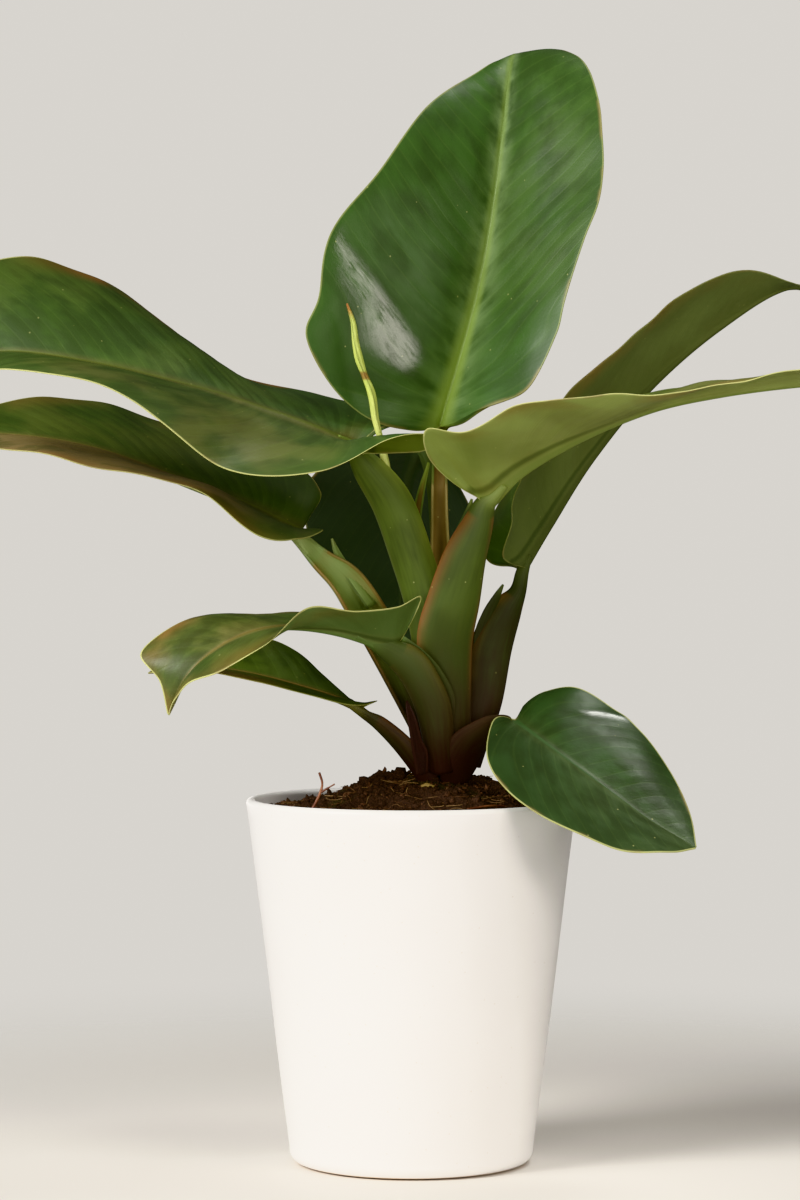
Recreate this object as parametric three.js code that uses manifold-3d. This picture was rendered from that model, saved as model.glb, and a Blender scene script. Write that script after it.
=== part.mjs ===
import * as THREE from 'three';
import Module from 'manifold-3d';

// A philodendron in a white ceramic pot: nine leaves and one rolled new leaf on a short stem.
// Millimetres, +Z up, the front towards -Y, the origin at the centre of the pot's foot.

const wasm = await Module();
wasm.setup();

// The clearance between pieces that touch, and the size of a sliver that a cut may leave.
const gap = 0.3;
const sliver = 0.02;

// Pot
const potHeight = 148.2;
const rimRadius = 67.4;
const footRadius = 49.2;
const wall = 4.2;
const floorThickness = 5;
const heelRound = 5;
const potSides = 40;

// Soil: its height at the wall, a mound round the crown, clods as [x, y, rise, spread] and a ripple.
const soilEdge = 143.2;
const soilRings = 8;
const mound = [8, 0, 13, 28];
const clods = [[-13, 6, 5, 8], [33, 8, 4, 8], [-34, -12, 2, 9], [20, -34, 2.5, 10]];
const rippleHeight = 0.7;
const rippleLengths = [20, 23];

// Stem, with the slight ridges of old leaf scars
const stemRadius = 8;
const stemFoot = 104;
const stemTop = 190;
const stemPlace = [14.5, 0];
const stemSides = 16;
const scarRidge = 0.4;
const scarRings = 9;
const holeClearance = 0.35;

// Leaves
const bladeThickness = 0.8;
const bladeColumns = [0.07, 0.35, 0.68, 1];
const bladeSwell = 0.2;
const rulingSweep = [0.4, 0.6, 1.35];
const ribTaper = 0.85;
const stalkWall = 1.1;
const stalkFloor = 1;
const backSteps = 8;
const channelSteps = 4;
const stepsPerStation = 2;

// Each leaf: the midrib's points, then rows of [share of the midrib, left edge point, right edge
// point] as seen from above with the tip ahead, and the stalk's stations as [x, y, z, left half
// width, right half width, depth of the back, depth of the channel, lift of the wings]. facing is
// the side on which the stalk's channel opens. rib is the midrib's depth at the leaf's base. ear is
// the free pointed tip of the stalk's sheath, as stations of the same kind.
const leaves = {
  leaf_small_left: {
    rib: 1.8,
    midrib: [
      [-6.5, -30, 209.5], [-26.5, -40, 216.5], [-44, -50, 219.5], [-59, -58, 218.5],
      [-73, -64, 213], [-86.5, -68, 202], [-95.5, -62, 185]],
    edges: [
      [0, [4, -35, 230], [-3, -16, 212.5]],
      [0.02, [-5.5, -46, 227.5], [-8, -8, 217]],
      [0.09, [-21, -56, 226.5], [-23, -10, 221]],
      [0.24, [-40.5, -66, 226.5], [-45, -16, 223.5]],
      [0.44, [-57, -78, 213.5], [-64.5, -30, 224.5]],
      [0.62, [-72.5, -80, 204.5], [-88, -44, 222.5]],
      [0.76, [-86, -78, 199], [-106.5, -58, 210.5]],
      [0.9, [-92.5, -70, 192], [-98.5, -64, 198.5]]],
    facing: [0.25, 0.95, 0.2],
    stalk: [
      [12.5, -12, 160.5, 6, 6, 5, 2, 1], [10.5, -17, 173.5, 6.6, 6.6, 5, 3, 1],
      [8.5, -21, 186, 7.4, 7.6, 5, 3.5, 1], [4, -25, 196.5, 7.4, 7.4, 4.5, 3.5, 1],
      [-1.5, -28, 204.5, 7.2, 7.2, 4, 2.5, 1], [-8.5, -30, 210, 4.8, 5.6, 3.5, -0.5, 0],
      [-16, -33, 213.5, 2.4, 3, 3, -1, 0], [-22.5, -38, 216, 1.6, 1.6, 2, -1, 0]],
    ear: [
      [14, -17, 180, 3, 3, 0.7, -0.5, 0], [13.2, -19.5, 189.5, 4.4, 4.4, 0.7, -0.5, 0],
      [8.5, -23, 199.5, 4.2, 4.2, 0.7, -0.5, 0], [3.5, -26, 207, 3, 3, 0.7, -0.5, 0],
      [-2, -28, 213, 1.4, 1.4, 0.6, -0.5, 0], [-5.5, -29, 216, 0.5, 0.5, 0.5, -0.4, 0]],
  },
  leaf_low_right: {
    rib: 1.6,
    midrib: [
      [41.5, -14, 180], [47.5, -22, 176], [59, -34, 168], [74.5, -46, 157], [93.5, -56, 143.5],
      [111.5, -62, 133]],
    edges: [
      [0, [44.5, -9, 182], [37, -18, 182]],
      [0, [45.5, -4, 186], [32, -26, 180]],
      [0.03, [54.5, -2, 192], [30, -42, 166.5]],
      [0.12, [68.5, -6, 193], [38.5, -58, 154]],
      [0.3, [87.5, -14, 181], [57.5, -68, 143]],
      [0.55, [101, -28, 165.5], [79, -72, 134]],
      [0.82, [109.5, -46, 147.5], [98, -70, 132]]],
    facing: [-0.4, 0.5, 0.7],
    stalk: [
      [17, -6, 154.5, 6, 6, 5, 2, 1], [20, -10, 163.5, 9.5, 9.5, 5, 3, 1],
      [23.5, -13, 172, 11, 10.5, 5, 3, 1], [29, -15, 177.5, 7.5, 7.5, 4, 2, 0.5],
      [35, -14, 181, 3.6, 3.6, 3, -0.5, 0], [41, -14, 180, 2.4, 2.4, 2.4, -1, 0],
      [46, -20, 176.5, 1.5, 1.5, 1.8, -1, 0]],
  },
  leaf_low_left: {
    rib: 1.4,
    midrib: [
      [-21, -8, 185], [-30, -10, 189], [-45, -14, 194], [-65, -20, 199.5], [-85, -26, 202.5],
      [-105.5, -32, 200.5]],
    edges: [
      [0, [-14, -14, 188.5], [-25, 0, 188]],
      [0.03, [-20, -26, 187.5], [-30, 6, 190.5]],
      [0.12, [-32.5, -34, 189.5], [-36.5, 10, 199]],
      [0.28, [-48.5, -38, 193.5], [-46.5, 6, 207.5]],
      [0.48, [-68, -44, 199.5], [-61, 0, 213.5]],
      [0.7, [-87, -46, 202], [-78.5, -8, 213]],
      [0.88, [-98, -42, 201.5], [-93, -20, 207.5]]],
    facing: [0.5, 0.3, 0.8],
    stalk: [
      [9, -5, 155, 6, 6, 5, 1, 0.5], [2, -7, 165, 6.8, 6.8, 5, 2, 1],
      [-5, -8, 173, 6.2, 6.2, 4.5, 2, 1], [-12.5, -8, 180, 4.4, 4.4, 4, 1, 0.5],
      [-19, -8, 184, 3, 3, 3, -1, 0], [-25, -9, 187.5, 1.8, 1.8, 2, -1, 0]],
  },
  leaf_front_right: {
    rib: 3.2,
    midrib: [
      [30, -34, 268.5], [43, -42, 281.5], [65.5, -58, 294.5], [92, -78, 305], [117.5, -96, 310],
      [146.5, -110, 313], [171, -118, 313.5]],
    edges: [
      [0, [24.5, -18, 275.5], [14, -48, 278]],
      [0, [22, -6, 288], [6, -58, 287]],
      [0, [23, 0, 293.5], [6, -70, 296.5]],
      [0.03, [32, 3, 298], [20.5, -82, 296.5]],
      [0.09, [54.5, 4, 305], [39.5, -92, 305]],
      [0.21, [78.5, -6, 309.5], [71.5, -102, 309]],
      [0.38, [110.5, -34, 314.5], [104.5, -118, 309.5]],
      [0.6, [137.5, -66, 318], [134, -128, 316.5]],
      [0.82, [159.5, -96, 316.5], [156.5, -128, 318]]],
    facing: [-0.2, 0.95, 0.1],
    stalk: [
      [17.5, -8, 165, 7, 7, 5, 2, 1], [16.5, -12, 180.5, 8, 8, 5, 3, 1],
      [15, -15, 197, 9.5, 10, 5, 3, 1], [15, -19, 213.5, 10, 13, 5, 3.5, 1],
      [19, -24, 229.5, 8.8, 12.8, 5, 3.5, 1], [23.5, -29, 245.5, 6.4, 11.5, 5, 3, 1],
      [27, -32, 257.5, 5.3, 8.6, 4.8, 2, 1], [29, -34, 267, 4.4, 5, 4, 0, 0],
      [32.5, -36, 271, 3, 3, 3.5, -1, 0], [37, -39, 276, 2, 2, 2.5, -1, 0]],
    ear: [
      [13, -24, 238, 3, 3, 0.7, -0.5, 0], [18, -27, 252, 2.8, 2.8, 0.7, -0.5, 0],
      [22, -29, 263, 1.8, 1.8, 0.6, -0.5, 0], [24, -30, 270, 0.5, 0.5, 0.5, -0.4, 0]],
  },
  leaf_upper_left: {
    rib: 3,
    midrib: [
      [-22, -22, 289.5], [-36.5, -28, 297], [-56.5, -34, 304.5], [-84, -42, 313],
      [-123, -48, 322.5], [-162.5, -48, 328], [-193, -40, 320.5]],
    edges: [
      [0, [-8.5, -34, 288], [-15, -8, 298]],
      [0, [5.5, -46, 289.5], [-6.5, 4, 300.5]],
      [0, [6.5, -58, 295.5], [-6.5, 14, 304]],
      [0.02, [-9.5, -68, 292.5], [-17, 20, 307.5]],
      [0.08, [-36.5, -82, 280], [-39.5, 24, 313.5]],
      [0.21, [-71.5, -88, 282], [-78, 20, 324.5]],
      [0.4, [-107.5, -92, 307.5], [-118.5, 2, 355]],
      [0.62, [-143, -88, 319.5], [-154, -25, 367]],
      [0.83, [-175.5, -64, 319.5], [-179, -48, 354]]],
    facing: [0.4, 0.9, 0.1],
    stalk: [
      [13, -4, 169, 6, 6, 5, 2, 1], [10.5, -6, 188.5, 8, 7, 5.5, 3, 1],
      [7.5, -8, 209, 8, 7.5, 5.5, 3, 1], [5, -10, 228.5, 9, 9, 5.5, 3, 1],
      [-0.5, -13, 247.5, 9.3, 9.3, 5.5, 3, 1], [-8, -17, 268, 9, 9, 5, 3, 1],
      [-17, -20, 281.5, 7, 7, 4.5, 1, 0.5], [-24, -22, 290.5, 3.5, 3.5, 3.5, -1, 0],
      [-30.5, -26, 294.5, 2, 2, 2.5, -1, 0]],
  },
  leaf_rear_right: {
    rib: 2.8,
    midrib: [
      [45, 20, 242], [56.5, 34, 260], [75.5, 54, 288], [102, 74, 318.5], [132.5, 86, 344],
      [163.5, 92, 361.5], [187, 92, 354]],
    edges: [
      [0, [37, 34, 242.5], [39, 10, 244.5]],
      [0, [32, 48, 244.5], [37.5, 2, 248.5]],
      [0.04, [32, 62, 251], [41, -8, 259.5]],
      [0.1, [36.5, 76, 266.5], [42.5, -10, 273.5]],
      [0.22, [68, 98, 307], [61, 12, 308.5]],
      [0.42, [104, 116, 338], [95, 32, 341]],
      [0.64, [139, 120, 361], [131, 54, 365]],
      [0.85, [166, 108, 360.5], [161, 78, 363.5]]],
    facing: [-0.5, 0.8, 0.2],
    stalk: [
      [24, 4, 161.5, 5, 6, 4, 1, 0.5], [27, 6, 172.5, 6, 8, 4.5, 2, 1],
      [31.5, 9, 187.5, 7, 11, 4.5, 2.5, 1], [35, 13, 208, 7.6, 13, 4.5, 2.5, 1],
      [40, 16, 223.5, 6.5, 9, 4, 2, 1], [43.5, 18, 232, 4, 4, 3.5, 0, 0],
      [45.5, 20, 240, 3, 3, 3, -1, 0], [48, 23, 246.5, 1.8, 1.8, 2.2, -1, 0]],
    ear: [
      [29, 7.8, 201, 2.6, 2.6, 0.7, -0.5, 0], [28.8, 7.8, 213, 4, 4, 0.7, -0.5, 0],
      [31.6, 9, 222.5, 3.4, 3.4, 0.7, -0.5, 0], [35, 10.8, 230, 1.9, 1.9, 0.6, -0.5, 0],
      [37.6, 12, 235, 0.5, 0.5, 0.5, -0.4, 0]],
  },
  leaf_lower_left: {
    rib: 2.6,
    midrib: [
      [-45.5, -4, 256], [-66, 0, 266.5], [-89.5, 2, 276], [-129, 4, 290.5], [-168, 4, 296.5],
      [-196, 0, 294]],
    edges: [
      [0, [-36, -20, 257], [-41.5, 12, 263]],
      [0.02, [-44.5, -40, 254.5], [-38, 28, 272.5]],
      [0.08, [-59, -52, 256], [-50.5, 42, 284.5]],
      [0.21, [-87.5, -52, 274], [-92.5, 44, 299]],
      [0.4, [-123, -48, 281.5], [-130, 40, 310.5]],
      [0.62, [-156, -36, 290], [-162, 26, 311]],
      [0.83, [-183, -16, 291.5], [-185.5, 8, 303]]],
    facing: [0.5, -0.8, 0.3],
    stalk: [
      [8.5, 3, 169.5, 6, 6, 5, 2, 1], [0, 2, 189, 8, 8, 5, 3, 1],
      [-11, -1, 210.5, 9, 9, 5, 3, 1.5], [-22, -3, 229, 8.5, 9, 4.5, 3, 1.5],
      [-29, -4, 238, 7, 8, 4, 2.5, 1.5], [-36.5, -4, 245.5, 5.5, 5, 4, 1, 0.5],
      [-44, -4, 253, 3.5, 3.5, 3.5, -1, 0], [-51, -3, 259, 2, 2, 2.5, -1, 0]],
    ear: [
      [-16, 0, 226.5, 3, 3, 0.7, -0.5, 0], [-25, 1, 239, 2.6, 2.6, 0.7, -0.5, 0],
      [-30, 2, 247.5, 1.8, 1.8, 0.6, -0.5, 0], [-32.5, 2, 254, 0.5, 0.5, 0.5, -0.4, 0]],
  },
  leaf_top: {
    rib: 3.2,
    midrib: [
      [11.5, 12, 299], [19, 14, 324], [27.5, 18, 356], [33.5, 24, 389.5], [38, 34, 423.5],
      [42.5, 52, 455.5], [49.5, 86, 454]],
    edges: [
      [0, [0, 2, 298], [20, 2, 301]],
      [0, [-16, -8, 302], [32.5, -12, 308]],
      [0.02, [-31.5, -14, 315], [47.5, -24, 314.5]],
      [0.08, [-42.5, -16, 335.5], [57, -26, 335.5]],
      [0.16, [-37.6, -12, 351.5], [61, -23, 349.5]],
      [0.28, [-32.7, -7.5, 377.7], [69.5, -18.5, 374]],
      [0.41, [-13, 3, 403.5], [76.5, -12, 395.5]],
      [0.62, [7, 24, 432.5], [77, 6, 428]],
      [0.79, [32, 48, 451.5], [71, 32, 452]],
      [0.91, [43, 68, 456.5], [58.5, 60, 459.5]]],
    facing: [0, -1, 0.1],
    stalk: [
      [15, 2, 167, 6, 6, 5, 3, 1], [14, 4, 188, 7, 7, 5, 3, 1], [13, 5, 212.5, 6, 6, 5, 3, 1],
      [12, 6, 237, 4.5, 4.5, 4.5, 2.5, 1], [11.5, 8, 261.5, 3.6, 3.6, 4, 1.5, 0.8],
      [11.5, 10, 282, 3.2, 3.2, 3.5, 0.5, 0.4], [12, 12, 297.5, 2.6, 2.6, 3, -1, 0],
      [14, 13, 306, 1.6, 1.6, 2.5, -1, 0]],
    ear: [
      [7, 4.5, 222, 3, 3, 0.7, -0.5, 0], [3, 3.5, 240, 2.8, 2.8, 0.7, -0.5, 0],
      [1.5, 3, 256, 2.2, 2.2, 0.7, -0.5, 0], [3.5, 2.5, 271, 1.6, 1.6, 0.6, -0.5, 0],
      [7, 2, 285, 0.5, 0.5, 0.5, -0.4, 0]],
  },
  leaf_back: {
    rib: 2,
    midrib: [
      [4, 62, 291.5], [-1.5, 84, 278.5], [-3, 104, 252.5], [-4.5, 112, 226.5], [-5.5, 106, 204.5]],
    edges: [
      [0, [-10, 58, 295], [10.5, 60, 291]],
      [0.02, [-30, 62, 290], [15, 62, 283.5]],
      [0.1, [-45, 76, 274], [24.5, 74, 268]],
      [0.26, [-43.5, 90, 252.5], [27, 88, 248.5]],
      [0.48, [-33, 104, 231], [20.5, 100, 227.5]],
      [0.75, [-20, 110, 213.5], [8.5, 108, 212.5]]],
    facing: [0, -1, 0.3],
    stalk: [
      [15, 8, 168, 5, 5, 4, 2, 1], [14.5, 14, 187.5, 5, 5, 4, 2, 1],
      [12.5, 28, 220, 4.5, 4.5, 4, 1.5, 1], [11.5, 43, 253, 3.6, 3.6, 3.5, 1, 0.5],
      [9, 56, 279, 3, 3, 3, -1, 0], [4, 63, 292.5, 2.4, 2.4, 2.5, -1, 0],
      [1.5, 73, 288, 1.6, 1.6, 2, -1, 0]],
  },
};

// The rolled new leaf rises out of the channel of the upper left leaf's stalk: [x, y, z, radius].
const newLeaf = {
  facing: [0.5, -0.8, 0.2],
  stations: [
    [-6, -16, 260, 2], [-8.5, -18, 272, 2.1], [-10.5, -20, 284, 1.9], [-12.5, -20, 294, 1.4],
    [-14.5, -20, 302, 1.6], [-16, -20, 312, 1.8], [-19, -20, 320, 1.4], [-21, -20, 326, 1.8],
    [-22.5, -20, 333, 1.5], [-23.5, -20, 341, 1.1], [-26, -20, 348.5, 0.4]],
};

// Uniform Catmull-Rom through rows of equal length, t from 0 to 1, its ends carried on straight.
function along(rows, t) {
  const last = rows.length - 1;
  const place = THREE.MathUtils.clamp(t, 0, 1) * last;
  const i = Math.min(Math.floor(place), last - 1);
  const f = place - i;
  return rows[0].map((unused, k) => {
    const b = rows[i][k];
    const c = rows[i + 1][k];
    const a = i > 0 ? rows[i - 1][k] : 2 * b - c;
    const d = i + 2 <= last ? rows[i + 2][k] : 2 * c - b;
    const start = (c - a) / 2;
    const end = (d - b) / 2;
    const cubic = 2 * b - 2 * c + start + end;
    const square = -3 * b + 3 * c - 2 * start - end;
    return cubic * f ** 3 + square * f ** 2 + start * f + b;
  });
}

const vector = (row) => new THREE.Vector3(row[0], row[1], row[2]);

function direction(rows, t) {
  const step = 0.001;
  return vector(along(rows, t + step)).sub(vector(along(rows, t - step))).normalize();
}

// A function that turns a share of the midrib's length into the spline's own parameter.
function lengthTable(rows) {
  const steps = 200;
  const reach = [0];
  for (let i = 1; i <= steps; i += 1) {
    const piece = vector(along(rows, i / steps)).distanceTo(vector(along(rows, (i - 1) / steps)));
    reach.push(reach[i - 1] + piece);
  }
  return (share) => {
    const wanted = share * reach[steps];
    let i = 1;
    while (i < steps && reach[i] < wanted) {
      i += 1;
    }
    return (i - 1 + (wanted - reach[i - 1]) / (reach[i] - reach[i - 1])) / steps;
  };
}

function solid(points, faces) {
  const vertProperties = new Float32Array(points.flatMap((p) => [p.x, p.y, p.z]));
  const triVerts = new Uint32Array(faces.flat());
  return new wasm.Manifold(new wasm.Mesh({ numProp: 3, vertProperties, triVerts }));
}

// A surface of triangles in which points at the same place are one vertex. Each vertex keeps the
// depth that the surface gains below it when it is thickened.
class Sheet {
  constructor() {
    this.points = [];
    this.depths = [];
    this.faces = [];
    this.seen = new Map();
  }

  vertex(point, depth = 0) {
    const perMillimetre = 1e4;
    const key = point.toArray().map((v) => Math.round(v * perMillimetre)).join();
    if (!this.seen.has(key)) {
      this.seen.set(key, this.points.length);
      this.points.push(point);
      this.depths.push(depth);
    }
    return this.seen.get(key);
  }

  face(a, b, c) {
    if (a !== b && b !== c && c !== a) {
      this.faces.push([a, b, c]);
    }
  }

  normals() {
    const sums = this.points.map(() => new THREE.Vector3());
    for (const [a, b, c] of this.faces) {
      const ab = this.points[b].clone().sub(this.points[a]);
      const ac = this.points[c].clone().sub(this.points[a]);
      const normal = ab.cross(ac);
      [a, b, c].forEach((v) => sums[v].add(normal));
    }
    return sums.map((sum) => sum.normalize());
  }

  // An upper and a lower side with the same triangles, joined round the sheet's edge.
  thicken(half) {
    const count = this.points.length;
    const normals = this.normals();
    const upper = this.points.map((p, i) => p.clone().addScaledVector(normals[i], half));
    const lower = this.points.map((p, i) => p.clone().addScaledVector(normals[i], -half - this.depths[i]));
    const faces = [...this.faces];
    const edges = new Set();
    for (const [a, b, c] of this.faces) {
      faces.push([c + count, b + count, a + count]);
      [[a, b], [b, c], [c, a]].forEach(([from, to]) => edges.add(`${from},${to}`));
    }
    for (const edge of edges) {
      const [from, to] = edge.split(',').map(Number);
      if (!edges.has(`${to},${from}`)) {
        faces.push([to, from, from + count], [to, from + count, to + count]);
      }
    }
    return solid([...upper, ...lower], faces);
  }
}

// The blade's line of vertices at u, by column from the left edge (-4) over the midrib (0) to the
// right edge (4). Rulings run from the midrib out to both edges, swept towards the tip and swelling
// a little between them.
function bladeLine(leaf, sheet, shareAt, u) {
  const { midrib, edges, rib } = leaf;
  const [base, tip] = [midrib[0], midrib[midrib.length - 1]];
  const roots = [[0], ...edges.map(([share]) => [share]), [1]];
  const share = THREE.MathUtils.clamp(along(roots, u)[0], 0, 1);
  const t = shareAt(share);
  const middle = vector(along(midrib, t));
  const ahead = direction(midrib, t);
  const line = new Map([[0, sheet.vertex(middle, rib * (1 - ribTaper * share))]]);
  for (const side of [-1, 1]) {
    const rail = [base, ...edges.map((row) => (side < 0 ? row[1] : row[2])), tip];
    const chord = vector(along(rail, u)).sub(middle);
    const forward = chord.dot(ahead);
    const across = chord.clone().addScaledVector(ahead, -forward);
    const width = across.length();
    const up = across.clone().cross(ahead).multiplyScalar(side).normalize();
    const [straight, bent, power] = rulingSweep;
    bladeColumns.forEach((v, k) => {
      const point = middle.clone()
        .addScaledVector(ahead, forward * (straight * v + bent * v ** power))
        .addScaledVector(across, v)
        .addScaledVector(up, bladeSwell * width * v * (1 - v));
      line.set(side * (k + 1), sheet.vertex(u > 0 && u < 1 ? point : middle));
    });
  }
  return line;
}

function blade(leaf) {
  const shareAt = lengthTable(leaf.midrib);
  const steps = (leaf.edges.length + 1) * stepsPerStation;
  const reach = bladeColumns.length;
  const sheet = new Sheet();
  let last = bladeLine(leaf, sheet, shareAt, 0);
  for (let i = 1; i <= steps; i += 1) {
    const line = bladeLine(leaf, sheet, shareAt, i / steps);
    for (let k = -reach; k < reach; k += 1) {
      const [a, b, c, d] = [last.get(k), line.get(k), line.get(k + 1), last.get(k + 1)];
      if (k < 0) {
        sheet.face(a, d, c);
        sheet.face(a, c, b);
      } else {
        sheet.face(a, d, b);
        sheet.face(d, c, b);
      }
    }
    last = line;
  }
  return sheet.thicken(bladeThickness / 2);
}

// The closed outline of a stalk at one station, in sideways and upward distances: the back's arc,
// then the channel's arc inside it. grow moves both outwards.
function section([left, right, back, channel, lift], grow) {
  const outline = [];
  const wing = Math.min(stalkWall, 0.45 * Math.min(left, right));
  const floor = Math.min(channel, Math.max(back - stalkFloor, -back));
  for (let i = 0; i <= backSteps; i += 1) {
    const angle = Math.PI * (i / backSteps - 0.5);
    const half = (angle < 0 ? left : right) + grow;
    const rise = lift * Math.sin(angle) ** 2;
    outline.push([half * Math.sin(angle), rise - (back + grow) * Math.cos(angle)]);
  }
  for (let i = 0; i <= channelSteps; i += 1) {
    const angle = Math.PI * (0.5 - i / channelSteps);
    const half = (angle < 0 ? left : right) - wing + grow;
    const rise = lift * Math.sin(angle) ** 2 + 2 * grow;
    outline.push([half * Math.sin(angle), rise - (floor - grow) * Math.cos(angle)]);
  }
  return outline;
}

function sweep(stations, facing, grow = 0) {
  const steps = (stations.length - 1) * stepsPerStation;
  const front = vector(facing);
  const size = backSteps + channelSteps + 2;
  const points = [];
  const faces = [];
  let outline = [];
  for (let i = 0; i <= steps; i += 1) {
    const t = i / steps;
    const row = along(stations, t);
    const ahead = direction(stations, t);
    const up = front.clone().addScaledVector(ahead, -front.dot(ahead)).normalize();
    const side = ahead.clone().cross(up);
    outline = section(row.slice(3), grow);
    outline.forEach(([x, y]) => {
      points.push(vector(row).addScaledVector(side, x).addScaledVector(up, y));
    });
    for (let k = 0; i > 0 && k < size; k += 1) {
      const [a, b] = [(i - 1) * size + k, (i - 1) * size + ((k + 1) % size)];
      faces.push([a, b + size, b], [a, a + size, b + size]);
    }
  }
  const end = steps * size;
  const flat = outline.map(([x, y]) => new THREE.Vector2(x, y));
  for (const [a, b, c] of THREE.ShapeUtils.triangulateShape(flat, [])) {
    faces.push([a, b, c], [c + end, b + end, a + end]);
  }
  return solid(points, faces);
}

function stalk(leaf, grow) {
  const body = sweep(leaf.stalk, leaf.facing, grow);
  return leaf.ear ? body.add(sweep(leaf.ear, leaf.facing, grow)) : body;
}

function rolledLeaf() {
  const stations = newLeaf.stations.map(([x, y, z, r]) => [x, y, z, r, r, r, -r, 0]);
  return sweep(stations, newLeaf.facing);
}

// A turned shape from [radius, height] pairs that start and end on the axis.
function turned(profile, sides) {
  const points = profile.map(([r, z]) => new THREE.Vector2(r, z));
  const geometry = new THREE.LatheGeometry(points, sides).rotateX(Math.PI / 2);
  const position = geometry.getAttribute('position');
  const index = geometry.getIndex();
  const sheet = new Sheet();
  const order = [];
  for (let i = 0; i < position.count; i += 1) {
    order.push(sheet.vertex(new THREE.Vector3().fromBufferAttribute(position, i)));
  }
  for (let i = 0; i < index.count; i += 3) {
    sheet.face(order[index.getX(i)], order[index.getX(i + 1)], order[index.getX(i + 2)]);
  }
  return solid(sheet.points, sheet.faces);
}

function arc(x, z, radius, from, to, steps) {
  const out = [];
  for (let i = 0; i <= steps; i += 1) {
    const angle = THREE.MathUtils.degToRad(from + ((to - from) * i) / steps);
    out.push([x + radius * Math.cos(angle), z + radius * Math.sin(angle)]);
  }
  return out;
}

const outerRadius = (z) => footRadius + ((rimRadius - footRadius) * z) / potHeight;
const innerRadius = (z) => outerRadius(z) - wall;

function pot() {
  const lip = wall / 2;
  const corner = floorThickness + heelRound;
  const profile = [
    [0, 0],
    ...arc(outerRadius(heelRound) - heelRound, heelRound, heelRound, -90, 0, 4),
    ...arc(rimRadius - lip, potHeight - lip, lip, 0, 180, 6),
    ...arc(innerRadius(corner) - heelRound, corner, heelRound, 0, -90, 3),
    [0, floorThickness],
  ];
  return turned(profile, potSides);
}

function bump(x, y, [cx, cy, rise, spread]) {
  return rise * Math.exp(-((x - cx) ** 2 + (y - cy) ** 2) / (2 * spread ** 2));
}

// The soil's surface, level at the wall.
function soilHeight(x, y) {
  const far = Math.min(Math.hypot(x, y) / innerRadius(soilEdge), 1);
  const lumps = [mound, ...clods].reduce((sum, clod) => sum + bump(x, y, clod), 0);
  const [alongX, alongY] = rippleLengths;
  const ripple = rippleHeight * Math.sin((2 * Math.PI * x) / alongX) * Math.sin((2 * Math.PI * y) / alongY);
  return soilEdge + (lumps + ripple) * (1 - far ** 6);
}

// The plug of soil that fills the pot, its top raised by grow where it cuts what stands on it.
function soilBody(grow) {
  const sheet = new Sheet();
  const ring = (radius, height) => Array.from({ length: potSides }, (unused, k) => {
    const angle = (2 * Math.PI * k) / potSides;
    const [x, y] = [radius * Math.sin(angle), -radius * Math.cos(angle)];
    return sheet.vertex(new THREE.Vector3(x, y, height(x, y)));
  });
  const top = (x, y) => soilHeight(x, y) + grow;
  const edge = innerRadius(soilEdge) - gap;
  const bottom = floorThickness + gap;
  const heel = bottom + heelRound;
  const loops = [ring(0, top)];
  for (let i = 1; i <= soilRings; i += 1) {
    loops.push(ring((edge * i) / soilRings, top));
  }
  loops.push(ring(innerRadius(heel) - gap, () => heel));
  loops.push(ring(innerRadius(heel) - gap - heelRound, () => bottom));
  loops.push(ring(0, () => bottom));
  for (let i = 1; i < loops.length; i += 1) {
    for (let k = 0; k < potSides; k += 1) {
      const n = (k + 1) % potSides;
      sheet.face(loops[i - 1][k], loops[i][k], loops[i][n]);
      sheet.face(loops[i - 1][k], loops[i][n], loops[i - 1][n]);
    }
  }
  return solid(sheet.points, sheet.faces);
}

// The stem narrows towards its rounded foot and its top.
function stem(grow) {
  const [footShare, footTaper, topShare, topTaper] = [0.2, 0.25, 0.4, 0.4];
  const [endRise, endDrop] = [1, 2];
  const profile = [[0, stemFoot - grow]];
  for (let i = 0; i <= scarRings; i += 1) {
    const share = i / scarRings;
    const foot = footTaper * Math.max(0, 1 - share / footShare);
    const top = topTaper * Math.max(0, share - 1 + topShare);
    const ridge = i % 2 ? scarRidge : 0;
    const height = stemFoot + endRise + share * (stemTop - stemFoot - endRise - endDrop);
    profile.push([stemRadius * (1 - foot - top) + ridge + grow, height]);
  }
  profile.push([0, stemTop + grow]);
  return turned(profile, stemSides).translate([...stemPlace, 0]);
}

// The plain hole in the soil that the stem stands in, cut through to above the pot.
function stemHole() {
  const radius = stemRadius + scarRidge + holeClearance;
  const [bottom, above] = [stemFoot - gap, potHeight * 2];
  return turned([[0, bottom], [radius, bottom], [radius, above], [0, above]], stemSides * 2)
    .translate([...stemPlace, 0]);
}

// The largest piece of a body, without the scraps and slivers that a cut left.
function mainPiece(body) {
  return body.simplify(sliver).decompose().sort((a, b) => b.volume() - a.volume())[0];
}

function mesh(name, body, color, roughness) {
  const { vertProperties, triVerts } = body.getMesh();
  const geometry = new THREE.BufferGeometry();
  geometry.setAttribute('position', new THREE.BufferAttribute(vertProperties, 3));
  geometry.setIndex(new THREE.BufferAttribute(triVerts, 1));
  geometry.computeVertexNormals();
  const material = new THREE.MeshStandardMaterial({ color, roughness, metalness: 0 });
  const made = new THREE.Mesh(geometry, material);
  made.name = name;
  return made;
}

const plant = new THREE.Group();
plant.add(mesh('pot', pot(), '#f2efe9', 0.35));
plant.add(mesh('soil', soilBody(0).subtract(stemHole()), '#2c1b12', 0.95));
plant.add(mesh('stem', stem(0), '#3a1c14', 0.7));

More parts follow.
